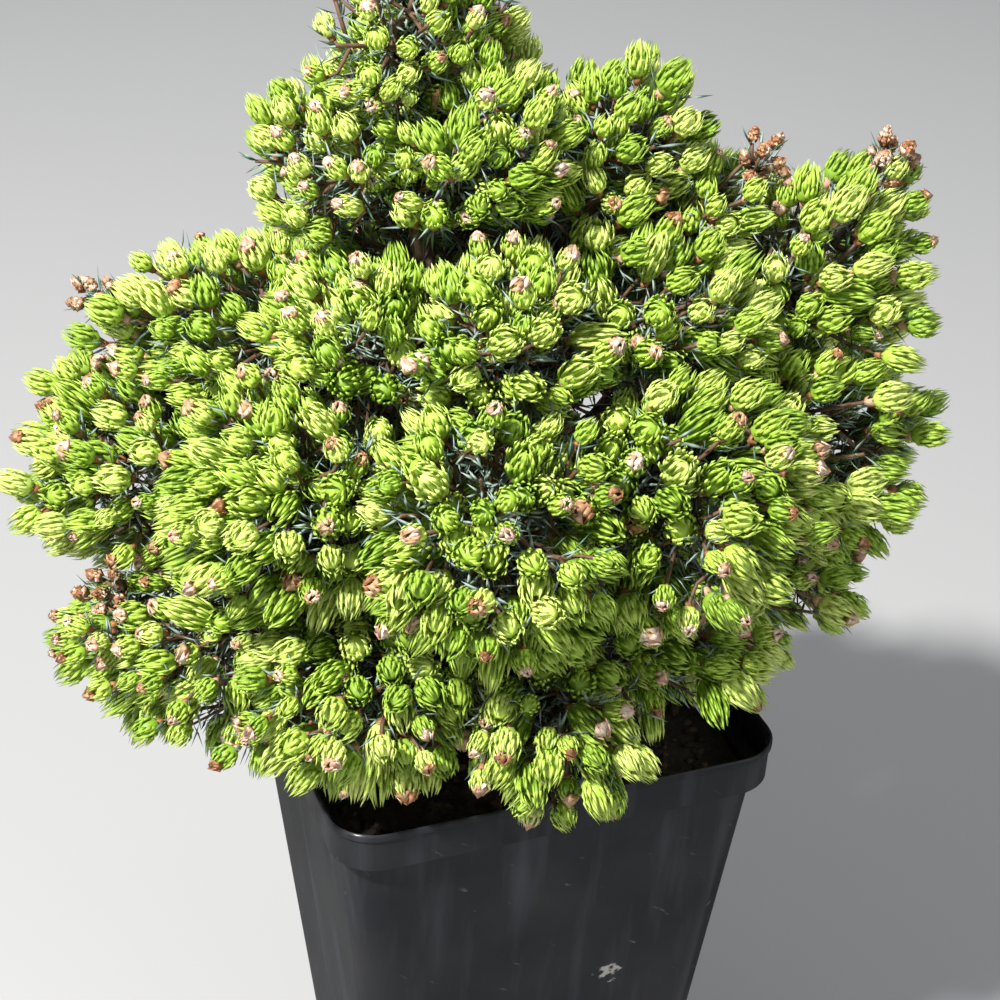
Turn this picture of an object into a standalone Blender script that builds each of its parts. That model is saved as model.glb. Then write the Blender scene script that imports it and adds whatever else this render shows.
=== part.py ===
"""A dwarf spruce in a square nursery pot: its pot, compost, trunk, boughs and masses of needles."""

import math
import random
from collections import Counter
from typing import NamedTuple

import bmesh
import bpy
from mathutils import Matrix, Vector

# Metres, +Z up. The origin is the middle of the pot's flat underside, and the pot's sides lie along X and Y.
CLEARANCE = 0.0003  # between solids that touch on the real plant
UP = Vector((0, 0, 1))

# Pot: a 3 litre square nursery pot with a stepped collar round its rim.
RIM_SIDE = 0.150
POT_HEIGHT = 0.200
FOOT_SIDE = 0.105
CORNER_RADIUS = 0.0145
CORNER_STEPS = 4
COLLAR_HEIGHT = 0.0155
COLLAR_STEP = 0.0042  # how far the collar stands out past the wall under it
COLLAR_FLARE = 0.0006
LEDGE_RISE = 0.0006  # the collar's underside slopes a little
WALL = 0.0014
WALL_SLANT = 1.03  # how much wider the leaning wall is where it is cut level
DRAIN_RADIUS = 0.0055
DRAIN_REACH = 0.034
DRAIN_COUNT = 8
DRAIN_SIDES = 12

# Compost: its surface is level round the trunk and uneven towards the wall.
COMPOST_TOP = 0.184
COMPOST_UNEVEN = 0.0018
COMPOST_LEVEL_REACH = 0.046
COMPOST_RINGS = (0.063, 0.050, 0.032)  # half sizes of the rings that its surface is cut into

# Trunk: leans away from the middle as it rises, and runs up through the foliage to its tip.
TRUNK_FOOT = COMPOST_TOP + CLEARANCE
TRUNK_TIP = 0.447
TRUNK_FOOT_RADIUS = 0.0078
TRUNK_TIP_RADIUS = 0.0013
TRUNK_TAPER_POWER = 0.85
TRUNK_LEAN = 0.036  # how far the tip stands from the foot, seen from above
TRUNK_LEAN_AZIMUTH = 160.0
TRUNK_LEAN_POWER = 0.9
TRUNK_POINTS = 13
TRUNK_SIDES_RESOLUTION = 3
FLARE_HEIGHT = 0.016
FLARE_RADIUS = 0.0055
FLARE_LOBES = 5
FLARE_LOBE_DEPTH = 0.35

# Boughs: each leaves the trunk below its mass, and ends where it enters that mass.
BOUGH_FOOT_RADIUS = 0.0026
BOUGH_TIP_RADIUS = 0.0016
BOUGH_POINTS = 5
BOUGH_SIDES_RESOLUTION = 1
BOUGH_SAG = 0.05  # bow of the limb, as a share of its length
DROOP_BELOW = 0.31  # boughs to masses below this height arch over, and those above it turn upwards
ENTRY_SHARE = 0.92  # how far out in its mass's space a bough ends
LEAST_BOUGH = 0.42  # a bough goes at least this share of the way to the middle of its mass

# Twigs and tufts. A tuft is one young shoot with its needles.
STEM_RADIUS = 0.0015
FLAT_OF_THREE = 0.75  # how near the bark a three-sided stem's flat may come, as a share of its radius
TWIG_RADIUS = 0.0011
SHOOT_RADIUS = 0.0008
CORE_SHARE = 0.54  # of the space that the dense old growth fills
CORE_SUBDIVISIONS = 1
CORE_UNEVEN = 0.1
PULL_STEPS = 20
TUFT_SPACING = 0.0222
TUFT_LENGTH = (0.019, 0.024)
TUFT_WIDTH = (0.0115, 0.0140)
TUFT_SIDES = 4
TUFT_WIDEST = 0.48  # how far up the tuft it is widest
NEEDLE_STAND = 0.0036  # how far the needle points stand out of a tuft's faces
NEEDLE_LEAN = 0.05  # how far they lean towards its tip, as a share of its length
FACE_MIDDLE = 0.47  # how far out the middles of those faces lie, as a share of the tuft's half width
POINT_LEVELS = (0.35, 0.7)  # shares of the way from waist to tip between which the points stand
SHORTENED = (1.0, 0.93, 0.86, 0.79, 0.72)  # a tuft that would leave its room stands this much further in
SHADE = -0.1  # no tuft grows where its mass faces the dark inside of the crown
HEART_HEIGHT = 0.27
SIZE_OF_FULL_TUFTS = 0.026  # in a narrower space than this, tufts are smaller
BEND = 0.8  # how much a tuft follows its shoot
ROOT_DEPTH = 0.003  # how far a shoot is sunk past the fork that carries it
FAMILY = 3  # tufts that share a twig
FORWARD = 0.45  # how much a tuft leans along its stem rather than straight out
BRANCH_BACK = 0.5  # how far back along the stem a twig leaves it, for each length that it reaches aside
FORK_SHARE = 0.6
CLEAR_FROM = 0.3  # the share of a twig that may lie close to the limb that carries its mass
STEM_END_SHARE = 0.35
SAME_PLACE = 3e-6  # points closer than this are one
KEPT_FACES = (0.72, 0.74, 0.76, 0.78, 0.80)  # shares left when slivers are taken out: the first that works

# The spaces below are the lobes that show. Behind each, growth runs deeper and wider, up to its walls.
DEEPER = 0.45
WIDER = 1.20

# Room kept between what grows in one space and everything else.
REACH_OF_NEIGHBOURS = 0.12  # between middles
REACH_OF_LIMBS = 0.03  # past the outside of a space
NEIGHBOUR_GAP = 0.0008
LIMB_GAP = 0.0005
CORE_GAP = 0.0012
POT_GAP = 0.0010
GOLDEN_ANGLE = math.pi * (3 - math.sqrt(5))


class Space(NamedTuple):
    """The space that one mass of foliage fills: where its middle is, and how far it reaches from there."""

    azimuth: float  # degrees from +X, seen from above
    reach: float  # from the pot's middle line
    height: float
    long: float  # half sizes: away from the middle line, round it, and upwards
    wide: float
    tall: float
    lift: float  # how much its tufts turn upwards, or down where it is below zero
    foot: float  # the height at which its bough, or its own stem, leaves the trunk


SPACES = {
    "skirt_front": Space(265, 0.090, 0.233, 0.030, 0.029, 0.028, -0.25, 0.210),
    "skirt_front_left": Space(220, 0.087, 0.238, 0.038, 0.038, 0.031, -0.20, 0.226),
    "skirt_left": Space(176, 0.112, 0.227, 0.039, 0.040, 0.032, -0.15, 0.218),
    "skirt_back_left": Space(127, 0.094, 0.235, 0.038, 0.038, 0.030, -0.15, 0.211),
    "skirt_back": Space(75, 0.090, 0.237, 0.038, 0.038, 0.030, -0.15, 0.223),
    "skirt_back_right": Space(22, 0.094, 0.238, 0.038, 0.037, 0.030, -0.15, 0.231),
    "skirt_right": Space(330, 0.095, 0.247, 0.033, 0.032, 0.027, -0.10, 0.214),
    "skirt_front_right": Space(293, 0.087, 0.247, 0.032, 0.031, 0.027, -0.20, 0.228),
    "mid_left": Space(162, 0.122, 0.277, 0.038, 0.037, 0.037, 0.10, 0.250),
    "mid_front_left": Space(205, 0.092, 0.298, 0.038, 0.038, 0.037, 0.05, 0.260),
    "mid_front": Space(250, 0.098, 0.305, 0.037, 0.038, 0.037, 0.00, 0.251),
    "mid_front_right": Space(288, 0.098, 0.305, 0.037, 0.038, 0.036, 0.00, 0.269),
    "mid_right": Space(330, 0.110, 0.299, 0.033, 0.035, 0.038, 0.10, 0.238),
    "mid_back_right": Space(18, 0.104, 0.298, 0.039, 0.040, 0.036, 0.10, 0.263),
    "mid_back": Space(66, 0.100, 0.300, 0.039, 0.040, 0.036, 0.10, 0.271),
    "mid_back_left": Space(115, 0.103, 0.294, 0.039, 0.040, 0.036, 0.10, 0.255),
    "up_left": Space(160, 0.100, 0.324, 0.039, 0.032, 0.029, 0.35, 0.290),
    "up_front_left": Space(203, 0.066, 0.332, 0.032, 0.032, 0.032, 0.25, 0.318),
    "up_front": Space(255, 0.064, 0.340, 0.034, 0.034, 0.035, 0.20, 0.304),
    "up_front_right": Space(308, 0.067, 0.342, 0.032, 0.032, 0.033, 0.25, 0.289),
    "up_right": Space(336, 0.074, 0.367, 0.023, 0.022, 0.024, 0.45, 0.318),
    "far_right": Space(340, 0.109, 0.354, 0.027, 0.027, 0.036, 0.45, 0.247),
    "up_back_right": Space(30, 0.066, 0.350, 0.036, 0.036, 0.032, 0.30, 0.300),
    "up_back_left": Space(105, 0.066, 0.345, 0.036, 0.036, 0.032, 0.30, 0.323),
    "top_left": Space(165, 0.058, 0.384, 0.024, 0.025, 0.027, 0.55, 0.372),
    "top_front": Space(236, 0.030, 0.392, 0.026, 0.027, 0.028, 0.45, 0.376),
    "top_right": Space(335, 0.044, 0.386, 0.024, 0.024, 0.031, 0.55, 0.336),
    "top_back": Space(85, 0.030, 0.388, 0.026, 0.027, 0.028, 0.45, 0.371),
    "leader_left": Space(186, 0.044, 0.423, 0.020, 0.019, 0.025, 0.70, 0.411),
    "leader_right": Space(120, 0.026, 0.428, 0.018, 0.018, 0.023, 0.70, 0.414),
}
# Masses so near the trunk that their own stem meets it, with no bough.
FROM_TRUNK = ("top_left", "top_front", "top_back", "leader_left", "leader_right")


def clear_scene():
    for thing in list(bpy.data.objects):
        bpy.data.objects.remove(thing, do_unlink=True)


def collection_named(name, hidden=False):
    made = bpy.data.collections.new(name)
    bpy.context.scene.collection.children.link(made)
    made.hide_render = hidden
    return made


def material(name, colour, roughness, metallic=0.0):
    made = bpy.data.materials.new(name)
    made.use_nodes = True
    shader = made.node_tree.nodes["Principled BSDF"]
    shader.inputs["Base Color"].default_value = (*colour, 1.0)
    shader.inputs["Roughness"].default_value = roughness
    shader.inputs["Metallic"].default_value = metallic
    made.diffuse_color = (*colour, 1.0)
    return made


def object_from(name, shape, collection, finish=None):
    """A new object from a bmesh, which is used up."""
    mesh = bpy.data.meshes.new(name)
    shape.to_mesh(mesh)
    shape.free()
    made = bpy.data.objects.new(name, mesh)
    collection.objects.link(made)
    if finish:
        mesh.materials.append(finish)
    return made


def evaluated_mesh(source):
    graph = bpy.context.evaluated_depsgraph_get()
    return bpy.data.meshes.new_from_object(source.evaluated_get(graph), depsgraph=graph)


def smooth(thing, angle=math.radians(35)):
    thing.data.shade_smooth()
    thing.data.set_sharp_from_angle(angle=angle)


# ---------------------------------------------------------------- pot and compost


def wall_side(height):
    """The pot's outer side under the collar, at a height above the foot."""
    return FOOT_SIDE + (RIM_SIDE - 2 * COLLAR_STEP - FOOT_SIDE) * height / (POT_HEIGHT - COLLAR_HEIGHT)


def rounded_block(bottom_side, top_side, bottom, top, corner):
    """A tapered block with rounded upright edges. Returns it with the edges of its top."""
    shape = bmesh.new()
    bmesh.ops.create_cube(shape, size=1.0)
    for vert in shape.verts:
        upper = vert.co.z > 0
        side = top_side if upper else bottom_side
        vert.co = Vector((vert.co.x * side, vert.co.y * side, top if upper else bottom))
    upright = [edge for edge in shape.edges if abs(edge.verts[0].co.z - edge.verts[1].co.z) > 1e-6]
    bmesh.ops.bevel(
        shape,
        geom=upright,
        offset=corner,
        offset_type="OFFSET",
        segments=CORNER_STEPS,
        profile=0.5,
        affect="EDGES",
    )
    return shape


def widened(shape, edges, side, rise):
    """Extrudes the pot's open edge outwards and upwards to a new side, and returns the new edge."""
    old_side = 2 * max(abs(vert.co.x) for edge in edges for vert in edge.verts)
    made = bmesh.ops.extrude_edge_only(shape, edges=edges)["geom"]
    for vert in (item for item in made if isinstance(item, bmesh.types.BMVert)):
        vert.co.x *= side / old_side
        vert.co.y *= side / old_side
        vert.co.z += rise
    return [item for item in made if isinstance(item, bmesh.types.BMEdge) and item.is_boundary]


def drain_cutters(collection):
    cutters = []
    for number in range(DRAIN_COUNT):
        angle = 2 * math.pi * (number + 0.5) / DRAIN_COUNT
        shape = bmesh.new()
        place = Matrix.Translation((DRAIN_REACH * math.cos(angle), DRAIN_REACH * math.sin(angle), 0))
        bmesh.ops.create_cone(
            shape,
            cap_ends=True,
            segments=DRAIN_SIDES,
            radius1=DRAIN_RADIUS,
            radius2=DRAIN_RADIUS,
            depth=6 * WALL,
            matrix=place,
        )
        cutter = object_from(f"drain_cutter_{number + 1}", shape, collection)
        cutter.hide_render = True
        cutter.display_type = "WIRE"
        cutters.append(cutter)
    return cutters


def make_pot(collection, cutter_collection, finish):
    ledge = POT_HEIGHT - COLLAR_HEIGHT
    shape = rounded_block(FOOT_SIDE, wall_side(ledge), 0.0, ledge, CORNER_RADIUS)
    lid = max(shape.faces, key=lambda face: face.calc_center_median().z)
    edges = list(lid.edges)
    bmesh.ops.delete(shape, geom=[lid], context="FACES_ONLY")
    edges = widened(shape, edges, RIM_SIDE - 2 * COLLAR_FLARE, LEDGE_RISE)
    widened(shape, edges, RIM_SIDE, COLLAR_HEIGHT - LEDGE_RISE)
    bmesh.ops.recalc_face_normals(shape, faces=shape.faces)
    pot = object_from("pot", shape, collection, finish)
    wall = pot.modifiers.new("wall", "SOLIDIFY")
    wall.thickness = WALL
    wall.offset = -1.0
    wall.use_even_offset = True
    for cutter in drain_cutters(cutter_collection):
        drain = pot.modifiers.new("drain", "BOOLEAN")
        drain.operation = "DIFFERENCE"
        drain.object = cutter
        drain.solver = "EXACT"
    return pot


def make_compost(collection, finish):
    """The root ball's compost fills the pot to below its rim. Its top is level where the trunk stands."""
    bottom = WALL + CLEARANCE
    gap = 2 * (WALL + CLEARANCE) * WALL_SLANT
    corner = CORNER_RADIUS - WALL
    shape = rounded_block(wall_side(bottom) - gap, wall_side(COMPOST_TOP) - gap, bottom, COMPOST_TOP, corner)
    lid = max(shape.faces, key=lambda face: face.calc_center_median().z)
    for half in COMPOST_RINGS:
        lid = bmesh.ops.extrude_discrete_faces(shape, faces=[lid])["faces"][0]
        shrink = half / max(abs(vert.co.x) for vert in lid.verts)
        bmesh.ops.scale(shape, vec=(shrink, shrink, 1), verts=lid.verts)
    bmesh.ops.poke(shape, faces=[lid])
    chance = random.Random("compost")
    for vert in shape.verts:
        on_wall = max(abs(vert.co.x), abs(vert.co.y)) > wall_side(COMPOST_TOP) / 2 - gap
        if vert.co.z > COMPOST_TOP - 1e-6 and vert.co.xy.length > COMPOST_LEVEL_REACH and not on_wall:
            vert.co.z += chance.uniform(-COMPOST_UNEVEN, COMPOST_UNEVEN)
    return object_from("compost", shape, collection, finish)


# ---------------------------------------------------------------- trunk and boughs


def direction(azimuth):
    return Vector((math.cos(math.radians(azimuth)), math.sin(math.radians(azimuth)), 0.0))


def trunk_point(height):
    """The trunk's middle line at a height."""
    share = max(0.0, (height - TRUNK_FOOT) / (TRUNK_TIP - TRUNK_FOOT))
    away = TRUNK_LEAN * share**TRUNK_LEAN_POWER
    return direction(TRUNK_LEAN_AZIMUTH) * away + Vector((0, 0, height))


def trunk_radius(height):
    share = min(1.0, max(0.0, (height - TRUNK_FOOT) / (TRUNK_TIP - TRUNK_FOOT)))
    return TRUNK_FOOT_RADIUS + (TRUNK_TIP_RADIUS - TRUNK_FOOT_RADIUS) * share**TRUNK_TAPER_POWER


def limb(name, points, radii, resolution, collection, finish):
    """A tapering limb along a line of points, as a mesh with closed ends."""
    curve = bpy.data.curves.new(name, "CURVE")
    curve.dimensions = "3D"
    curve.bevel_depth = 1.0
    curve.bevel_resolution = resolution
    curve.use_fill_caps = True
    spline = curve.splines.new("POLY")
    spline.points.add(len(points) - 1)
    for knot, point, radius in zip(spline.points, points, radii):
        knot.co = (*point, 1.0)
        knot.radius = radius
    guide = bpy.data.objects.new(name + "_guide", curve)
    collection.objects.link(guide)
    shape = bmesh.new()
    shape.from_mesh(evaluated_mesh(guide))
    bpy.data.objects.remove(guide, do_unlink=True)
    bmesh.ops.remove_doubles(shape, verts=shape.verts, dist=1e-5)
    bmesh.ops.recalc_face_normals(shape, faces=shape.faces)
    if shape.calc_volume(signed=True) < 0:
        bmesh.ops.reverse_faces(shape, faces=shape.faces)
    made = object_from(name, shape, collection, finish)
    smooth(made)
    return made


def make_trunk(collection, finish):
    shares = [step / (TRUNK_POINTS - 1) for step in range(TRUNK_POINTS)]
    heights = [TRUNK_FOOT + (TRUNK_TIP - TRUNK_FOOT) * share for share in shares]
    heights.insert(1, TRUNK_FOOT + FLARE_HEIGHT / 3)
    points = [trunk_point(height) for height in heights]
    points[1].x, points[1].y = 0.0, 0.0
    radii = [trunk_radius(height) for height in heights]
    trunk = limb("trunk", points, radii, TRUNK_SIDES_RESOLUTION, collection, finish)
    for vert in trunk.data.vertices:
        rise = (vert.co.z - TRUNK_FOOT) / FLARE_HEIGHT
        away = vert.co.xy.length
        if rise < 1.0 and away > 1e-5:
            lobe = 1 - FLARE_LOBE_DEPTH * (1 - math.cos(FLARE_LOBES * math.atan2(vert.co.y, vert.co.x)))
            flared = away + FLARE_RADIUS * lobe * (1.0 - max(0.0, rise)) ** 2
            vert.co.x *= flared / away
            vert.co.y *= flared / away
        vert.co.z = max(vert.co.z, TRUNK_FOOT)
    return trunk


def middle(space):
    return direction(space.azimuth) * (space.reach - DEEPER * space.long) + Vector((0, 0, space.height))


def half_sizes(space):
    """How far growth may run from the middle: away from the pot's middle line, round it, and upwards."""
    return Vector((space.long * (1 + DEEPER), space.wide * WIDER, space.tall * WIDER))


def bough_points(name):
    """A bough's middle line from the bark to the near side of its mass, bowed as it rises or hangs."""
    space = SPACES[name]
    centre = middle(space)
    foot = trunk_point(space.foot)
    run = centre - foot
    tip = centre - run.normalized() * min(half_sizes(space).x * ENTRY_SHARE, run.length * (1 - LEAST_BOUGH))
    line = tip - foot
    start = off_the_bark(foot, line.normalized(), BOUGH_FOOT_RADIUS)
    bow = UP * BOUGH_SAG * (tip - start).length * (1.0 if space.height < DROOP_BELOW else -1.0)
    points = []
    for step in range(BOUGH_POINTS):
        along = step / (BOUGH_POINTS - 1)
        points.append(start.lerp(tip, along) + bow * math.sin(math.pi * along))
    return points


def off_the_bark(foot, run, radius):
    """The first point of a run out of the trunk where a flat foot of that radius stands clear of the bark."""
    across = around(run)
    point = foot
    while any(bark_gap(point + side * radius) < CLEARANCE for side in across) or bark_gap(point) < CLEARANCE:
        point = point + run * CLEARANCE / 3
    return point


def bark_gap(point):
    axis = trunk_point(point.z)
    return (point - axis).xy.length - trunk_radius(point.z)


def around(aim):
    """Eight directions across an aim."""
    side = aim.orthogonal().normalized()
    other = aim.cross(side)
    turns = [2 * math.pi * number / 8 for number in range(8)]
    return [side * math.cos(turn) + other * math.sin(turn) for turn in turns]


def bough_radii():
    steps = [step / (BOUGH_POINTS - 1) for step in range(BOUGH_POINTS)]
    return [BOUGH_FOOT_RADIUS + (BOUGH_TIP_RADIUS - BOUGH_FOOT_RADIUS) * along for along in steps]


def make_boughs(collection, finish):
    for name in SPACES:
        if name not in FROM_TRUNK:
            points = bough_points(name)
            limb(f"bough_{name}", points, bough_radii(), BOUGH_SIDES_RESOLUTION, collection, finish)


def all_limbs():
    """Every limb as (start, end, radius) stretches, by the mass that it carries."""
    limbs = {}
    heights = [TRUNK_FOOT + (TRUNK_TIP - TRUNK_FOOT) * step / 24 for step in range(25)]
    limbs["trunk"] = [
        (trunk_point(low), trunk_point(high), trunk_radius(low)) for low, high in zip(heights, heights[1:])
    ]
    for name in SPACES:
        if name not in FROM_TRUNK:
            points = bough_points(name)
            limbs[name] = list(zip(points, points[1:], bough_radii()))
    return limbs


# ---------------------------------------------------------------- room for a mass


def between(first, second):
    """The shortest distance between two stretches, each a pair of points."""
    steps = 8
    nearest = 1.0
    for step in range(steps + 1):
        point = first[0].lerp(first[1], step / steps)
        line = second[1] - second[0]
        along = (point - second[0]).dot(line) / max(line.length_squared, 1e-12)
        nearest = min(nearest, (point - second[0] - line * min(1.0, max(0.0, along))).length)
    return nearest


class Room:
    """Where one mass may grow: its own space, up to its neighbours' and clear of every limb and the pot."""

    def __init__(self, name, limbs):
        self.name = name
        self.space = SPACES[name]
        self.sizes = half_sizes(self.space)
        self.centre = middle(self.space)
        self.out = direction(self.space.azimuth)
        self.round = Vector((-self.out.y, self.out.x, 0.0))
        self.lit = (self.centre - trunk_point(HEART_HEIGHT)).normalized()
        self.walls = []
        for other_name, other in SPACES.items():
            away = middle(other) - self.centre
            if other_name != name and away.length < REACH_OF_NEIGHBOURS:
                share = 0.5 + (mean_size(self.space) ** 2 - mean_size(other) ** 2) / (2 * away.length_squared)
                self.walls.append((away.normalized(), away.length * share - NEIGHBOUR_GAP / 2))
        self.limbs = [part for parts in limbs.values() for part in parts if self.near(part)]

    def near(self, part):
        return between(part[:2], (self.centre, self.centre)) < max(self.sizes) + REACH_OF_LIMBS

    def at(self, unit, share=1.0):
        """The point of the space's outside in a direction that is given along its own three axes."""
        sizes = self.sizes
        across = self.out * unit.x * sizes.x + self.round * unit.y * sizes.y
        return self.centre + share * (across + Vector((0, 0, unit.z * sizes.z)))

    def outward(self, unit):
        """The direction straight out of the space's outside at that point."""
        sizes = self.sizes
        away = self.out * unit.x / sizes.x + self.round * unit.y / sizes.y
        return (away + Vector((0, 0, unit.z / sizes.z))).normalized()

    def holds(self, point, aim=UP, spread=0.0):
        """Whether a disc that faces along aim, or a point, keeps inside the walls and clear of the pot."""
        for away, limit in self.walls:
            towards = spread * math.sqrt(max(0.0, 1 - aim.dot(away) ** 2))
            if (point - self.centre).dot(away) + towards > limit:
                return False
        return clear_of_pot(point, spread)

    def open_to(self, start, end, radius):
        """Whether a straight shape of that radius keeps inside the room."""
        tips = (start, end)
        if not all(self.holds(tip) for tip in tips):
            return False
        return all(between(tips, part[:2]) > radius + part[2] + LIMB_GAP for part in self.limbs)

    def pulled_in(self, point):
        """The point, moved towards the middle until it is inside the room."""
        for step in range(PULL_STEPS, 0, -1):
            inside = self.centre.lerp(point, step / PULL_STEPS)
            clear = all(between((inside, inside), part[:2]) > part[2] + CORE_GAP for part in self.limbs)
            if clear and self.holds(inside):
                break
        return inside


def mean_size(space):
    return sum(half_sizes(space)) / 3


def clear_of_pot(point, spread=0.0):
    over_pot = max(abs(point.x), abs(point.y)) < RIM_SIDE / 2 + POT_GAP + spread
    return point.z > POT_HEIGHT + POT_GAP + spread or not over_pot


def spiral(count, turn):
    """Directions spread evenly over a sphere, as buds are spread round a shoot."""
    for number in range(count):
        z = 1 - 2 * (number + 0.5) / count
        level = math.sqrt(1 - z * z)
        angle = turn + number * GOLDEN_ANGLE
        yield Vector((level * math.cos(angle), level * math.sin(angle), z))


# ---------------------------------------------------------------- masses of foliage


def frame_along(start, end, turn=0.0):
    """Turns +Z to point from start to end, and moves the origin to start."""
    along = (end - start).to_track_quat("Z", "Y").to_matrix().to_4x4()
    return Matrix.Translation(start) @ along @ Matrix.Rotation(turn, 4, "Z")


def add_twig(collection, start, end, radius, end_radius):
    """A three-sided twig."""
    shape = bmesh.new()
    length = (end - start).length
    place = frame_along(start, end) @ Matrix.Translation((0, 0, length / 2))
    bmesh.ops.create_cone(
        shape, cap_ends=True, segments=3, radius1=radius, radius2=end_radius, depth=length, matrix=place
    )
    return object_from("twig", shape, collection)


def add_tuft(collection, tuft, root):
    """A young shoot: a slim core on a tail to its root, with points standing out of its fore part."""
    shape = bmesh.new()
    ahead = tuft.length * (1 - TUFT_WIDEST)
    bmesh.ops.create_uvsphere(shape, u_segments=TUFT_SIDES, v_segments=2, radius=0.5)
    for vert in shape.verts:
        height = 0.0 if vert.co.xy.length > 0.1 else ahead * 2 * vert.co.z
        vert.co = Vector((vert.co.x * tuft.width, vert.co.y * tuft.width, height))
    fore = [face for face in shape.faces if face.calc_center_median().z > 0]
    tail = min(shape.verts, key=lambda vert: vert.co.z)
    stand_out(shape, fore, NEEDLE_STAND, tuft.length * NEEDLE_LEAN)
    shape.transform(frame_along(tuft.tip - tuft.aim * ahead, tuft.tip, tuft.turn))
    tail.co = root + (root - tuft.tip).normalized() * ROOT_DEPTH
    bmesh.ops.recalc_face_normals(shape, faces=shape.faces)
    return object_from("tuft", shape, collection)


def stand_out(shape, faces, height, ahead):
    """Raises a point from the middle of each face, leaning towards the tuft's tip."""
    outward = {}
    for face in faces:
        outward[face.calc_center_median().freeze()] = face.normal.copy()
    made = bmesh.ops.poke(shape, faces=faces)
    for vert in made["verts"]:
        normal = min(outward.items(), key=lambda item: (item[0] - vert.co).length)[1]
        vert.co += normal * height + Vector((0, 0, ahead))


def add_core(collection, room):
    """The dense old growth that the tufts stand out of."""
    shape = bmesh.new()
    bmesh.ops.create_icosphere(shape, subdivisions=CORE_SUBDIVISIONS, radius=1.0)
    chance = random.Random(room.name + " core")
    for vert in shape.verts:
        share = CORE_SHARE * chance.uniform(1 - CORE_UNEVEN, 1 + CORE_UNEVEN)
        vert.co = room.pulled_in(room.at(vert.co.normalized(), share))
    bmesh.ops.recalc_face_normals(shape, faces=shape.faces)
    return object_from("core", shape, collection)


class Tuft(NamedTuple):
    tip: Vector
    aim: Vector
    length: float
    width: float
    turn: float


def tufts_of(room, along, chance):
    """Tufts spread over the outside of a mass, each where the room is open to it."""
    sizes = room.sizes
    area = 4 * math.pi * (sizes.x * sizes.y + sizes.x * sizes.z + sizes.y * sizes.z) / 3
    small = min(1.0, min(sizes) / SIZE_OF_FULL_TUFTS)
    for unit in spiral(max(9, round(area / TUFT_SPACING**2)), chance.uniform(0, 2 * math.pi)):
        length = chance.uniform(*TUFT_LENGTH) * small
        width = chance.uniform(*TUFT_WIDTH) * small
        turn = chance.uniform(0, math.pi)
        if (room.at(unit) - room.centre).normalized().dot(room.lit) < SHADE:
            continue
        aim = (room.outward(unit) + FORWARD * along + Vector((0, 0, room.space.lift))).normalized()
        for share in SHORTENED:
            tuft = Tuft(room.at(unit, share), aim, length, width, turn)
            if fits(tuft, room):
                yield tuft
                break


def fits(tuft, room):
    """Whether a tuft's waist, its needle points and its tip keep inside the room and clear of every limb."""
    waist = tuft.tip - tuft.aim * tuft.length * (1 - TUFT_WIDEST)
    wide = tuft.width / 2
    spread = wide * FACE_MIDDLE + NEEDLE_STAND
    levels = [(waist, wide)] + [(waist.lerp(tuft.tip, share), spread) for share in POINT_LEVELS]
    inside = all(room.holds(at, tuft.aim, reach) for at, reach in levels)
    return inside and room.open_to(waist, tuft.tip, spread)


def families(tufts):
    """Groups of neighbouring tufts, each group on a twig of its own."""
    left = list(tufts)
    while left:
        first = left.pop(0)
        left.sort(key=lambda tuft: (tuft.tip - first.tip).length)
        yield [first, *left[: FAMILY - 1]]
        left = left[FAMILY - 1 :]


def stem_line(name):
    """Where a mass's stem starts, beyond its bough's tip or the trunk's bark, and where it ends."""
    centre = middle(SPACES[name])
    if name in FROM_TRUNK:
        foot = trunk_point(SPACES[name].foot)
        start = off_the_bark(foot, (centre - foot).normalized(), STEM_RADIUS * FLAT_OF_THREE)
    else:
        points = bough_points(name)
        start = points[-1] + (points[-1] - points[-2]).normalized() * CLEARANCE
    return start, centre + (centre - start).normalized() * half_sizes(SPACES[name]).x * STEM_END_SHARE


def grow_mass(name, limbs, collection, finish):
    chance = random.Random(name)
    room = Room(name, limbs)
    start, end = stem_line(name)
    along = (end - start).normalized()
    growing = bpy.data.collections.new("growing")
    stem = add_twig(growing, start, end, STEM_RADIUS, TWIG_RADIUS)
    growing.objects.unlink(stem)
    for family in families(tufts_of(room, along, chance)):
        grow_family(family, room, start, along, (end - start).length, growing)
    add_core(growing, room)
    return joined(name, stem, growing, collection, finish)


def grow_family(family, room, start, along, stem_length, growing):
    """One twig from the stem, and from its fork a shoot to each tuft."""
    heart = sum((tuft.tip - tuft.aim * tuft.length for tuft in family), Vector()) / len(family)
    reach = (heart - start).dot(along)
    back = BRANCH_BACK * (heart - start - along * reach).length
    foot = start + along * min(stem_length, max(STEM_RADIUS, reach - back))
    fork = foot.lerp(heart, FORK_SHARE)
    if not room.open_to(foot.lerp(fork, CLEAR_FROM), fork, TWIG_RADIUS):
        return
    add_twig(growing, foot, fork, TWIG_RADIUS, SHOOT_RADIUS)
    for tuft in family:
        bent = tuft._replace(aim=(tuft.aim + BEND * (tuft.tip - fork).normalized()).normalized())
        if room.open_to(fork, bent.tip, SHOOT_RADIUS) and fits(bent, room):
            add_tuft(growing, bent, fork)


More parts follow.
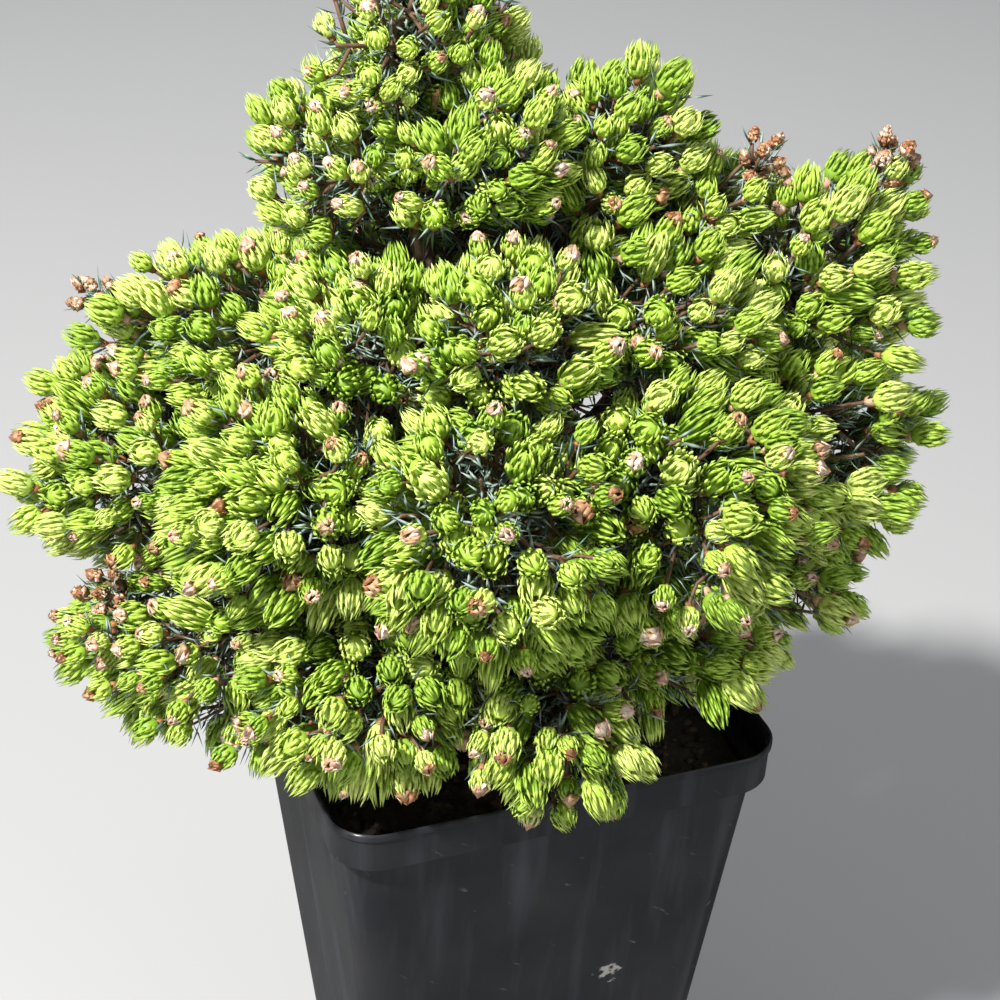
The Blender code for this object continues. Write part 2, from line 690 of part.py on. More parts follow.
def joined(name, first, others, collection, finish):
    """One closed solid from a stem and all that grows on it, without the scraps that joining leaves."""
    collection.objects.link(first)
    union = first.modifiers.new("union", "BOOLEAN")
    union.operation = "UNION"
    union.operand_type = "COLLECTION"
    union.collection = others
    union.solver = "EXACT"
    slivers_gone = first.modifiers.new("slivers gone", "DECIMATE")
    for share in KEPT_FACES:
        slivers_gone.ratio = share
        bpy.context.view_layer.update()
        shape = bmesh.new()
        shape.from_mesh(evaluated_mesh(first))
        bmesh.ops.remove_doubles(shape, verts=shape.verts, dist=SAME_PLACE)
        bmesh.ops.triangulate(shape, faces=shape.faces)
        keep_largest(shape)
        if not touches_itself(shape):
            break
        shape.free()
    for thing in [first, *others.objects]:
        bpy.data.objects.remove(thing, do_unlink=True)
    bpy.data.collections.remove(others)
    return object_from(name, shape, collection, finish)


def touches_itself(shape):
    """Whether more than two faces meet along any edge, counting points that lie in one place as one."""
    places = {vert: tuple(round(value / SAME_PLACE) for value in vert.co) for vert in shape.verts}
    faces_at = Counter()
    for face in shape.faces:
        for loop in face.loops:
            faces_at[frozenset((places[loop.vert], places[loop.link_loop_next.vert]))] += 1
    return any(count != 2 for count in faces_at.values())


def keep_largest(shape):
    """Drops every body but the one with most faces: scraps, and hollows that joining sealed."""
    left = set(shape.faces)
    bodies = []
    while left:
        waiting = [left.pop()]
        body = []
        while waiting:
            face = waiting.pop()
            body.append(face)
            touching = {other for edge in face.edges if edge.is_manifold for other in edge.link_faces}
            waiting += touching & left
            left -= touching
        bodies.append(body)
    bodies.remove(max(bodies, key=len))
    bmesh.ops.delete(shape, geom=[face for body in bodies for face in body], context="FACES")


def main():
    clear_scene()
    plant = collection_named("potted_spruce")
    cutters = collection_named("cutters", hidden=True)
    make_pot(plant, cutters, material("black_plastic", (0.012, 0.013, 0.015), 0.34))
    make_compost(plant, material("compost", (0.020, 0.014, 0.010), 0.95))
    bark = material("bark", (0.150, 0.085, 0.045), 0.85)
    make_trunk(plant, bark)
    make_boughs(plant, bark)
    needles = material("needles", (0.260, 0.420, 0.045), 0.55)
    limbs = all_limbs()
    for name in SPACES:
        grow_mass(name, limbs, plant, needles)


main()
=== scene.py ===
"""A dwarf spruce in a square nursery pot: its bark, twigs, needles, buds, compost and moulded pot."""

import math
import random
from typing import NamedTuple

import bmesh
import bpy
import numpy as np
from mathutils import Matrix, Vector, noise


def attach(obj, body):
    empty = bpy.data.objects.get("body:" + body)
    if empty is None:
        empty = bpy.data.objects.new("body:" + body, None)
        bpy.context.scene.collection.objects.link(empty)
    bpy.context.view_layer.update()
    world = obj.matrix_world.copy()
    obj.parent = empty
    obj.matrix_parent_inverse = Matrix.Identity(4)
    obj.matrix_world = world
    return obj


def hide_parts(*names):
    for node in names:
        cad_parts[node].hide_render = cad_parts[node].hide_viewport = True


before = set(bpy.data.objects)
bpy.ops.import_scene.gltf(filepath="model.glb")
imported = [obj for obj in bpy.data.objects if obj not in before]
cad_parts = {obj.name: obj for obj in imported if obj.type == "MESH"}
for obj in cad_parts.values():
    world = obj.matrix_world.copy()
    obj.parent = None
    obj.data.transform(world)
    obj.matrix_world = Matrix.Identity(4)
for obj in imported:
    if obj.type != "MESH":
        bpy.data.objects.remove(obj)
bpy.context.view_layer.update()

UP = Vector((0, 0, 1))
GOLDEN_ANGLE = math.pi * (3 - math.sqrt(5))

# ---- sizes shared with the solids, in metres

CLEARANCE = 0.0003
RIM_SIDE = 0.150
POT_HEIGHT = 0.200
FOOT_SIDE = 0.105
CORNER_RADIUS = 0.0145
COLLAR_HEIGHT = 0.0155
COLLAR_STEP = 0.0042
COLLAR_FLARE = 0.0006
LEDGE = POT_HEIGHT - COLLAR_HEIGHT
LEDGE_RISE = 0.0006
WALL = 0.0014
DRAIN_RADIUS = 0.0055
DRAIN_REACH = 0.034
DRAIN_COUNT = 8
COMPOST_TOP = 0.184

TRUNK_FOOT = COMPOST_TOP + CLEARANCE
TRUNK_TIP = 0.447
TRUNK_FOOT_RADIUS = 0.0078
TRUNK_TIP_RADIUS = 0.0013
TRUNK_TAPER_POWER = 0.85
TRUNK_LEAN = 0.036
TRUNK_LEAN_AZIMUTH = 160.0
TRUNK_LEAN_POWER = 0.9
FLARE_HEIGHT = 0.016
FLARE_RADIUS = 0.0055
FLARE_LOBES = 5
FLARE_LOBE_DEPTH = 0.35

BOUGH_FOOT_RADIUS = 0.0026
BOUGH_TIP_RADIUS = 0.0016
BOUGH_STEPS = (0.0, 0.25, 0.5, 0.75, 1.0)
BOUGH_RADII = [BOUGH_FOOT_RADIUS + (BOUGH_TIP_RADIUS - BOUGH_FOOT_RADIUS) * along for along in BOUGH_STEPS]
BOUGH_SAG = 0.05
DROOP_BELOW = 0.31
ENTRY_SHARE = 0.92
LEAST_BOUGH = 0.42
DEEPER = 0.45  # how much further in than its first size a mass reaches
WIDER = 1.20


class Space(NamedTuple):
    """The space that one mass of foliage fills: where its middle is, and how far it reaches from there."""

    azimuth: float  # degrees from +X, seen from above
    reach: float  # from the pot's middle line
    height: float
    long: float  # half sizes: away from the middle line, round it, and upwards
    wide: float
    tall: float
    foot: float  # the height at which its bough, or its own stem, leaves the trunk
    lift: float  # how much its tufts turn upwards, or down where it is below zero
    loose: float = 0.10  # share of its tufts that are long and open
    young: float = 0.28  # share that are still short and under their caps


def spaced(azimuth, *rest):
    """A space, with its six lengths in millimetres."""
    return Space(azimuth, *(part / 1000 for part in rest[:6]), *rest[6:])


SPACES = {
    "skirt_front": spaced(265, 90, 233, 30, 29, 28, 210, -0.25, 0.2, 0.3),
    "skirt_front_left": spaced(220, 87, 238, 38, 38, 31, 226, -0.2, 0.3, 0.2),
    "skirt_left": spaced(176, 112, 227, 39, 40, 32, 218, -0.15, 0.12, 0.35),
    "skirt_back_left": spaced(127, 94, 235, 38, 38, 30, 211, -0.15),
    "skirt_back": spaced(75, 90, 237, 38, 38, 30, 223, -0.15),
    "skirt_back_right": spaced(22, 94, 238, 38, 37, 30, 231, -0.15),
    "skirt_right": spaced(330, 95, 247, 33, 32, 27, 214, -0.1, 0.2, 0.3),
    "skirt_front_right": spaced(293, 87, 247, 32, 31, 27, 228, -0.2, 0.2, 0.35),
    "mid_left": spaced(162, 122, 277, 38, 37, 37, 250, 0.1, 0.05, 0.42),
    "mid_front_left": spaced(205, 92, 298, 38, 38, 37, 260, 0.05, 0.22, 0.22),
    "mid_front": spaced(250, 98, 305, 37, 38, 37, 251, 0.0, 0.26, 0.18),
    "mid_front_right": spaced(288, 98, 305, 37, 38, 36, 269, 0.0, 0.34, 0.18),
    "mid_right": spaced(330, 110, 299, 33, 35, 38, 238, 0.1, 0.28, 0.2),
    "mid_back_right": spaced(18, 104, 298, 39, 40, 36, 263, 0.1),
    "mid_back": spaced(66, 100, 300, 39, 40, 36, 271, 0.1),
    "mid_back_left": spaced(115, 103, 294, 39, 40, 36, 255, 0.1),
    "up_left": spaced(160, 100, 324, 39, 32, 29, 290, 0.35, 0.08, 0.4),
    "up_front_left": spaced(203, 66, 332, 32, 32, 32, 318, 0.25, 0.12, 0.28),
    "up_front": spaced(255, 64, 340, 34, 34, 35, 304, 0.2, 0.16, 0.22),
    "up_front_right": spaced(308, 67, 342, 32, 32, 33, 289, 0.25, 0.24, 0.22),
    "up_right": spaced(336, 74, 367, 23, 22, 24, 318, 0.45, 0.1, 0.36),
    "far_right": spaced(340, 109, 354, 27, 27, 36, 247, 0.45, 0.14, 0.32),
    "up_back_right": spaced(30, 66, 350, 36, 36, 32, 300, 0.3),
    "up_back_left": spaced(105, 66, 345, 36, 36, 32, 323, 0.3),
    "top_left": spaced(165, 58, 384, 24, 25, 27, 372, 0.55, 0.05, 0.36),
    "top_front": spaced(236, 30, 392, 26, 27, 28, 376, 0.45, 0.08, 0.3),
    "top_right": spaced(335, 44, 386, 24, 24, 31, 336, 0.55, 0.1, 0.3),
    "top_back": spaced(85, 30, 388, 26, 27, 28, 371, 0.45),
    "leader_left": spaced(186, 44, 423, 20, 19, 25, 411, 0.7, 0.0, 0.4),
    "leader_right": spaced(120, 26, 428, 18, 18, 23, 414, 0.7, 0.0, 0.4),
}
FROM_TRUNK = ("top_left", "top_front", "top_back", "leader_left", "leader_right")

# ---- sizes of the finer growth

STEM_RADIUS = 0.0015
TWIG_RADIUS = 0.0010
SHOOT_RADIUS = 0.0007
STEM_END_SHARE = 0.35  # how far past its mass's middle a stem runs
BRANCH_BACK = 0.5  # how far back along the stem a spray's branch leaves it
FORK_SHARE = 0.6
REACH_OF_NEIGHBOURS = 0.12
REACH_OF_LIMBS = 0.03
POT_GAP = 0.0010
HEART_HEIGHT = 0.27  # the height that the crown grows away from

CANDIDATE_SPACING = 0.0066
LEAST_APART = (0.0078, 0.0106)  # between the waists of neighbouring tufts
FULLER = 1.06  # how much further round a mass its tufts stand than its solid's
CROWN_OUT = 0.9  # how much a tuft turns away from the crown's heart
FORWARD = 0.45  # the way its mass's stem runs
LIFTED = 1.2  # upwards, by its space's lift
TURNED = 0.42  # at random
BEND = 0.8  # and the way its own shoot runs
WOBBLE = 0.06
INWARD = -0.8  # tufts that face the crown's heart more than this don't grow
LIGHT_REACH = (0.013, 0.028)  # how far out a tuft looks for open air
SOLID_SHARE = 0.84  # of a space, within which no light comes
PATCHES = 42.0  # how fine the pattern of patches without tufts is, per metre
PATCH_BELOW = -0.27
SIZE_OF_FULL_TUFTS = 0.026  # a mass smaller than this has smaller tufts
TOP_FROM = 0.34  # above this height the tufts get smaller
TOP_RUN = 0.06
SMALLER_AT_TOP = 0.16
UNEVEN = (0.885, 0.98)  # how far out a tuft's tip stands, as a share of its space
SHORTENED = (1.0, 0.95, 0.90, 0.85, 0.80)
SPRAY = 9  # tufts that share a branch of the stem
FAMILY = 3  # tufts that share a twig of that branch
CAPPED = {"plump": 0.10, "long": 0.04, "young": 0.62}  # share of each kind that keeps its cap
SIZES = {  # lengths and widths
    "plump": ((0.0118, 0.0160), (0.0084, 0.0108)),
    "long": ((0.0165, 0.0230), (0.0086, 0.0106)),
    "young": ((0.0085, 0.0118), (0.0068, 0.0088)),
    "bud": ((0.0062, 0.0090), (0.0036, 0.0050)),
}

INNER_SPRAYS = 22  # twigs with old needles alone, inside each mass and between it and its neighbours
FULL_MASS = 0.047
INNER_REACH = (0.45, 0.78)
OLD_NEEDLES_PER_METRE = 600
OLD_NEEDLE_LENGTH = (0.0065, 0.0098)
OLD_NEEDLE_WIDTH = 0.00105
OPEN_BY = (0.75, 1.15)  # angle from the twig, radians
MOST_TRIANGLES = 185000  # in one joined piece

SPIRE_FROM = 0.374  # above this height the trunk carries tufts of its own
SPIRE_COUNT = 560
SPIRE_OUT = (0.0125, 0.0290)
SPIRE_TAPER = 0.58
SPIRE_LONG = 0.85
SPIRE_WIDE = 0.92
SPIRE_APART = LEAST_APART[0] * 0.80
HOLLOWS = [  # places without tufts, and how wide, mm: the first two open to the boughs, the others notches
    (Vector((x / 1000, y / 1000, z / 1000)), wide / 1000)
    for x, y, z, wide in (
        (-36, 20, 352, 19), (-45, -7, 368, 13), (-56, -6, 426, 16), (-47, 18, 423, 10),
        (2, -7, 427, 8), (9, -8, 415, 9), (17, -3, 412, 13), (22, 20, 406, 11),
        (22, -20, 415, 7), (31, -4, 414, 10), (52, -28, 407, 11), (91, -18, 381, 16),
        (87, -31, 386, 15), (107, -57, 371, 10), (112, -52, 363, 12), (85, -79, 309, 15),
        (105, -77, 304, 16), (122, -58, 290, 10), (96, -78, 275, 11), (85, -61, 236, 16),
        (72, -71, 248, 10), (33, -87, 229, 14), (18, -100, 239, 10), (-76, -83, 221, 12),
        (-134, 2, 207, 14), (-139, -3, 222, 12), (-133, 21, 241, 8), (-118, 58, 307, 10),
        (-141, 37, 296, 11), (-93, 46, 352, 14), (-81, 52, 350, 10), (-72, 16, 373, 12),
    )
]
SPRIGS = (  # buds or shoots close together, by mass: their kind, their number and their place in millimetres
    ("up_left", "bud", 9, -118, 47, 334),
    ("up_right", "bud", 8, 68, -35, 389),
    ("far_right", "bud", 7, 111, -38, 387),
    ("skirt_left", "bud", 8, -129, 10, 250),
    ("far_right", "young", 5, 112, -38, 377),
    ("mid_left", "plump", 5, -126, 54, 302),
    ("mid_left", "plump", 4, -143, 30, 274),
    ("mid_right", "plump", 5, 114, -61, 309),
    ("far_right", "plump", 4, 104, -61, 338),
    ("mid_right", "plump", 4, 104, -66, 276),
    ("top_right", "plump", 4, 38, -22, 409),
    ("skirt_left", "young", 5, -135, -5, 241),
    ("skirt_front_left", "young", 4, -99, -52, 226),
    ("skirt_front", "young", 3, -19, -94, 211),
    ("skirt_front", "young", 4, -6, -95, 211),
    ("top_front", "plump", 6, -27, -33, 398),
    ("top_right", "plump", 5, 17, -22, 373),
    ("top_right", "plump", 4, 22, -40, 368),
    ("up_front", "plump", 5, -17, -56, 351),
    ("up_front_left", "plump", 5, -50, -11, 339),
    ("up_left", "plump", 4, -80, 30, 322),
    ("far_right", "plump", 4, 80, -53, 355),
    ("mid_left", "young", 4, -119, 40, 285),
    ("mid_front_left", "plump", 5, -79, -31, 305),
    ("mid_front_left", "plump", 5, -69, -48, 303),
    ("mid_front_left", "long", 3, -70, -17, 307),
    ("mid_front", "plump", 4, -41, -75, 313),
    ("mid_front_right", "plump", 5, 27, -80, 302),
    ("mid_front_right", "young", 4, 23, -100, 301),
)
SPRIG_SPREAD = 0.0085
SPRIG_SUNK = 0.006


# ---- where growth runs


def direction(azimuth):
    return Vector((math.cos(math.radians(azimuth)), math.sin(math.radians(azimuth)), 0.0))


def trunk_share(height):
    return max(0.0, (height - TRUNK_FOOT) / (TRUNK_TIP - TRUNK_FOOT))


def trunk_point(height):
    """The trunk's middle line at a height."""
    away = TRUNK_LEAN * trunk_share(height) ** TRUNK_LEAN_POWER
    return direction(TRUNK_LEAN_AZIMUTH) * away + Vector((0, 0, height))


def trunk_radius(height):
    share = min(1.0, trunk_share(height)) ** TRUNK_TAPER_POWER
    return TRUNK_FOOT_RADIUS + (TRUNK_TIP_RADIUS - TRUNK_FOOT_RADIUS) * share


def trunk_line(low, steps):
    """Points up the trunk from a height to its tip, and its radii there."""
    heights = [low + (TRUNK_TIP - low) * step / steps for step in range(steps + 1)]
    return [trunk_point(height) for height in heights], [trunk_radius(height) for height in heights]


HEART = trunk_point(HEART_HEIGHT)


def middle(space):
    return direction(space.azimuth) * (space.reach - DEEPER * space.long) + Vector((0, 0, space.height))


def half_sizes(space):
    return Vector((space.long * (1 + DEEPER), space.wide * WIDER, space.tall * WIDER))


def mean_size(space):
    return sum(half_sizes(space)) / 3


def bough_points(name):
    """A bough's middle line from inside the trunk to the near side of its mass."""
    space = SPACES[name]
    centre = middle(space)
    foot = trunk_point(space.foot)
    run = centre - foot
    short = min(half_sizes(space).x * ENTRY_SHARE, run.length * (1 - LEAST_BOUGH))
    tip = centre - run.normalized() * short
    bow = UP * BOUGH_SAG * (tip - foot).length * (1.0 if space.height < DROOP_BELOW else -1.0)
    return [foot.lerp(tip, along) + bow * math.sin(math.pi * along) for along in BOUGH_STEPS]


def stem_line(name):
    """Where a mass's stem starts, at its bough's tip or inside the trunk, and where it ends."""
    centre = middle(SPACES[name])
    start = trunk_point(SPACES[name].foot) if name in FROM_TRUNK else bough_points(name)[-1]
    return start, centre + (centre - start).normalized() * half_sizes(SPACES[name]).x * STEM_END_SHARE


def all_limbs():
    """Every limb as stretches with a start, an end and a radius."""
    points, radii = trunk_line(TRUNK_FOOT, 24)
    limbs = list(zip(points, points[1:], radii))
    for name in SPACES:
        if name not in FROM_TRUNK:
            points = bough_points(name)
            limbs += zip(points, points[1:], BOUGH_RADII)
    return limbs


class Room:
    """Where one mass may grow: its own space, up to its neighbours' and clear of every limb and the pot."""

    def __init__(self, name, limbs):
        self.space = SPACES[name]
        self.sizes = half_sizes(self.space)
        self.centre = middle(self.space)
        self.out = direction(self.space.azimuth)
        self.round = UP.cross(self.out)
        self.lit = (self.centre - HEART).normalized()
        self.walls = []
        for other_name, other in SPACES.items():
            away = middle(other) - self.centre
            if other_name != name and away.length < REACH_OF_NEIGHBOURS:
                larger = mean_size(self.space) ** 2 - mean_size(other) ** 2
                share = 0.5 + larger / (2 * away.length_squared)
                self.walls.append((away.normalized(), away.length * share))
        near = max(self.sizes) + REACH_OF_LIMBS
        close = [part for part in limbs if ((part[0] + part[1]) / 2 - self.centre).length < near]
        self.starts = np.array([part[0] for part in close])
        self.lines = np.array([part[1] - part[0] for part in close])
        self.radii = np.array([part[2] for part in close])

    def at(self, way, share=1.0):
        """The point of the space's outside in a direction that is given along its own three axes."""
        sizes = self.sizes
        across = self.out * way.x * sizes.x + self.round * way.y * sizes.y * FULLER
        return self.centre + share * (across + Vector((0, 0, way.z * sizes.z)))

    def outward(self, way):
        sizes = self.sizes
        away = self.out * way.x / sizes.x + self.round * way.y / sizes.y
        return (away + Vector((0, 0, way.z / sizes.z))).normalized()

    def slid_in(self, point, spread):
        """The point, slid back to the walls that it lies beyond."""
        slid = point.copy()
        for _ in range(2):
            for away, limit in self.walls:
                over = (slid - self.centre).dot(away) + spread - limit
                if over > 0:
                    slid -= away * over
        return slid

    def clear_of_limbs(self, start, end, radius):
        points = np.array([start.lerp(end, share) for share in (0.0, 0.25, 0.5, 0.75, 1.0)])
        away = points[:, None] - self.starts
        along = np.clip((away * self.lines).sum(axis=2) / (self.lines**2).sum(axis=1), 0.0, 1.0)
        gap = np.linalg.norm(away - along[..., None] * self.lines, axis=2)
        return bool((gap > radius + self.radii).all())


class Crown:
    """All the spaces together, to tell whether light reaches a place."""

    def __init__(self):
        self.centres = np.array([middle(space) for space in SPACES.values()])
        turns = []
        for space in SPACES.values():
            out, sizes = direction(space.azimuth), half_sizes(space) * SOLID_SHARE
            turns.append((out / sizes.x, UP.cross(out) / sizes.y, UP / sizes.z))
        self.turns = np.array(turns)

    def open_at(self, point, headings):
        """Whether the air is open in one of these directions."""
        probes = np.array([[point + heading * reach for reach in LIGHT_REACH] for heading in headings])
        away = probes[:, :, None, :] - self.centres
        inside = (np.einsum("hrsk,sjk->hrsj", away, self.turns) ** 2).sum(axis=3) < 1
        return bool((~inside.any(axis=(1, 2))).any())


class Places:
    """The waists of the tufts so far, so that no two tufts stand in one place."""

    def __init__(self):
        self.rows = np.zeros((6000, 3))
        self.count = 0

    def free(self, place, apart):
        away = self.rows[: self.count] - np.array(place)
        return not self.count or bool(((away**2).sum(axis=1) > apart**2).all())

    def take(self, place):
        self.rows[self.count] = place
        self.count += 1


class Tuft(NamedTuple):
    tip: Vector
    aim: Vector
    length: float
    width: float
    kind: str
    capped: bool


def foot_of(tuft):
    return tuft.tip - tuft.aim * tuft.length


def waist(tuft):
    return tuft.tip - tuft.aim * tuft.length * 0.5


def heart_of(tufts):
    return sum((foot_of(tuft) for tuft in tufts), Vector()) / len(tufts)


def clear_of_pot(point, spread):
    over_pot = max(abs(point.x), abs(point.y)) < RIM_SIDE / 2 + POT_GAP + spread
    return point.z > POT_HEIGHT + POT_GAP + spread or not over_pot


def in_hollow(tuft):
    return any((waist(tuft) - place).length < wide for place, wide in HOLLOWS)


def fits(tuft, room):
    """Whether a tuft keeps clear of the hollows, of the pot and of every limb."""
    narrow = tuft.width * 0.4
    clear = not in_hollow(tuft) and clear_of_pot(waist(tuft), narrow)
    return clear and room.clear_of_limbs(waist(tuft), tuft.tip, narrow)


def spiral(count, turn):
    """Directions spread evenly over a sphere, as buds are spread round a shoot."""
    for number in range(count):
        z = 1 - 2 * (number + 0.5) / count
        level = math.sqrt(1 - z * z)
        angle = turn + number * GOLDEN_ANGLE
        yield Vector((level * math.cos(angle), level * math.sin(angle), z))


def sized(kind, chance):
    """A kind of tuft with its length and width."""
    lengths, widths = SIZES[kind]
    return kind, chance.uniform(*lengths), chance.uniform(*widths)


def chosen_kind(space, chance):
    roll = chance.random()
    if roll < space.loose:
        return sized("long", chance)
    return sized("young" if roll < space.loose + space.young else "plump", chance)


def any_way(chance, spread=1):
    return Vector((chance.gauss(0, spread), chance.gauss(0, spread), chance.gauss(0, spread)))


def sprigs_of(name, chance, taken):
    """The shoots of a mass's own sprigs."""
    for mass, kind_here, count, *place in SPRIGS:
        if mass != name:
            continue
        place = Vector([part / 1000 for part in place])
        outward = (place - HEART).normalized()
        for way in spiral(count, chance.uniform(0, math.tau)):
            kind, length, width = sized(kind_here, chance)
            aim = (outward + 0.7 * way + 0.3 * UP).normalized()
            tip = place + way * SPRIG_SPREAD * chance.uniform(0.7, 1.1) + aim * (length - SPRIG_SUNK)
            capped = kind != "bud" and chance.random() < CAPPED[kind]
            shoot = Tuft(tip, aim, length, width, kind, capped)
            taken.take(waist(shoot))
            yield shoot


def tufts_of(room, along, chance, taken, crown):
    """Tufts spread over a mass's outside, each where the room is open to it and no other tuft stands."""
    sizes = room.sizes
    area = 4 * math.pi * (sizes.x * sizes.y + sizes.x * sizes.z + sizes.y * sizes.z) / 3
    small = min(1.0, 0.35 + 0.65 * min(sizes) / SIZE_OF_FULL_TUFTS)
    small *= 1 - SMALLER_AT_TOP * min(1.0, max(0.0, (room.centre.z - TOP_FROM) / TOP_RUN))
    for way in spiral(round(area / CANDIDATE_SPACING**2), chance.uniform(0, math.tau)):
        kind, length, width = chosen_kind(room.space, chance)
        wobble = WOBBLE * any_way(chance)
        turned = TURNED * any_way(chance)
        uneven = chance.uniform(*UNEVEN)
        apart = chance.uniform(*LEAST_APART) * small
        capped = chance.random() < CAPPED[kind]
        place = room.at(way)
        bare = noise.noise(place * PATCHES) < PATCH_BELOW
        if bare or (place - room.centre).normalized().dot(room.lit) < INWARD:
            continue
        for share in SHORTENED:
            tip = room.slid_in(room.at((way + wobble).normalized(), share * uneven), width * 0.3)
            crown_out = (tip - HEART).normalized()
            aim = room.outward(way) + CROWN_OUT * crown_out + FORWARD * along
            aim = (aim + UP * (LIFTED * room.space.lift) + turned).normalized()
            tuft = Tuft(tip, aim, length * small, width * small, kind, capped)
            if not taken.free(waist(tuft), apart) or not fits(tuft, room):
                continue
            if crown.open_at(tip, (crown_out, aim, (crown_out + UP).normalized())):
                taken.take(waist(tuft))
                yield tuft
                break


def families(tufts, most):
    """Groups of neighbouring tufts."""
    left = list(tufts)
    while left:
        first = left.pop(0)
        left.sort(key=lambda tuft: (tuft.tip - first.tip).length)
        yield [first, *left[: most - 1]]
        left = left[most - 1 :]


class Crop:
    """All that grows on one mass: twigs as (start, knee, end, radius, radius at the end), and tufts."""

    def __init__(self):
        self.twigs = []
        self.clothed = []  # the twigs with old needles, and the share of each that is bare
        self.tufts = []

    def join(self, other):
        self.twigs += other.twigs
        self.clothed += other.clothed
        self.tufts += other.tufts

    def add_twig(self, start, knee, end, radius, end_radius, clothed_from):
        self.twigs.append((start, knee, end, radius, end_radius))
        self.clothed.append((start, knee, end, clothed_from))


def bent(start, end, along, chance):
    """A twig's knee: it leaves along its parent and turns to where it goes."""
    return start.lerp(end, 0.5) + (along * 0.10 + any_way(chance, 0.05)) * (end - start).length


def grow_shoot(tuft, fork, crop):
    """A shoot whose end carries the tuft, turned a little the way that the shoot runs."""
    turned = tuft._replace(aim=(tuft.aim + BEND * (tuft.tip - fork).normalized()).normalized())
    base = foot_of(turned)
    knee = base - turned.aim * (base - fork).length * 0.45
    crop.add_twig(fork, knee, base, SHOOT_RADIUS, SHOOT_RADIUS * 0.9, 0.0)
    crop.tufts.append(turned)


def grow_spire(taken):
    """Tufts on short shoots from the top of the trunk itself."""
    crop, chance = Crop(), random.Random("spire")
    for number in range(SPIRE_COUNT):
        height = SPIRE_FROM + (TRUNK_TIP - SPIRE_FROM) * (number + 0.5) / SPIRE_COUNT
        outward = direction(math.degrees(number * GOLDEN_ANGLE))
        aim = (outward + 0.8 * UP + 0.35 * any_way(chance)).normalized()
        narrower = 1 - SPIRE_TAPER * (number + 0.5) / SPIRE_COUNT
        tip = trunk_point(height) + (outward + 0.45 * UP) * chance.uniform(*SPIRE_OUT) * narrower
        kind, length, width = sized(chance.choice(("plump", "plump", "young")), chance)
        tip.z = min(tip.z, TRUNK_TIP + 0.001)
        capped = chance.random() < CAPPED[kind]
        tuft = Tuft(tip, aim, length * SPIRE_LONG, width * SPIRE_WIDE, kind, capped)
        if taken.free(waist(tuft), SPIRE_APART) and not in_hollow(tuft):
            taken.take(waist(tuft))
            grow_shoot(tuft, trunk_point(height - 0.004), crop)
    return crop


def grow_mass(name, limbs, taken, crown):
    """Stem, then sprays from the stem, families from a spray's fork, and a shoot from there to each tuft."""
    chance = random.Random(name)
    room = Room(name, limbs)
    start, end = stem_line(name)
    along = (end - start).normalized()
    crop = Crop()
    crop.add_twig(start, start.lerp(end, 0.5), end, STEM_RADIUS, TWIG_RADIUS, 0.35)
    sprigs = list(sprigs_of(name, chance, taken))
    tufts = list(tufts_of(room, along, chance, taken, crown))
    for spray in [*families(sprigs, SPRAY), *families(tufts, SPRAY)]:
        spray_fork = fork_towards(heart_of(spray), start, along, (end - start).length, crop, chance)
        for family in families(spray, FAMILY):
            fork = spray_fork.lerp(heart_of(family), FORK_SHARE)
            knee = bent(spray_fork, fork, along, chance)
            crop.add_twig(spray_fork, knee, fork, TWIG_RADIUS * 0.9, SHOOT_RADIUS * 1.15, 0.0)
            for tuft in family:
                grow_shoot(tuft, fork, crop)
    grow_inside(room, start, along, crop, chance)
    return crop


def fork_towards(heart, start, along, stem_length, crop, chance):
    """A branch from the stem half way to a spray's middle, and the fork at its end."""
    reach = (heart - start).dot(along)
    back = BRANCH_BACK * (heart - start - along * reach).length
    foot = start + along * min(stem_length, max(STEM_RADIUS, reach - back))
    fork = foot.lerp(heart, 0.5)
    knee = bent(foot, fork, along, chance)
    crop.add_twig(foot, knee, fork, TWIG_RADIUS * 1.15, TWIG_RADIUS * 0.9, 0.2)
    return fork


def grow_inside(room, start, along, crop, chance):
    """Old growth that fills the inside: bare of tufts, with last years' needles."""
    stem = start + along * room.sizes.x * 0.5
    count = round(INNER_SPRAYS * mean_size(room.space) / FULL_MASS)
    for way in spiral(count, chance.uniform(0, math.tau)):
        tip = room.at(way, chance.uniform(*INNER_REACH))
        foot = start.lerp(stem, chance.random())
        if room.clear_of_limbs(foot.lerp(tip, 0.5), tip, TWIG_RADIUS) and clear_of_pot(tip, 0.006):
            knee = bent(foot, tip, along, chance)
            crop.add_twig(foot, knee, tip, TWIG_RADIUS * 0.9, SHOOT_RADIUS * 0.8, 0.25)


# ---- joined meshes from arrays


def unit(rows):
    return rows / np.maximum(np.linalg.norm(rows, axis=-1, keepdims=True), 1e-9)


def curve_at(start, knee, end, share):
    """A bent line's point, and the way it runs, at a share of its length."""
    point = start * (1 - share) ** 2 + knee * 2 * share * (1 - share) + end * share**2
    return point, unit((knee - start) * (1 - share) + (end - knee) * share)


def across(along, slant):
    """Two ways square to each line, from an axis that its slant isn't near."""
    level = np.where(np.abs(slant[:, 2:3]) < 0.8, np.array([[0.0, 0, 1]]), np.array([[1.0, 0, 0]]))
    side = unit(np.cross(level, along))
    return side, np.cross(along, side)


def around(side, other, turn):
    return side * np.cos(turn) + other * np.sin(turn)


def ring(side, other, sides):
    """The ways to a ring's corners."""
    return [around(side, other, math.tau * corner / sides) for corner in range(sides)]


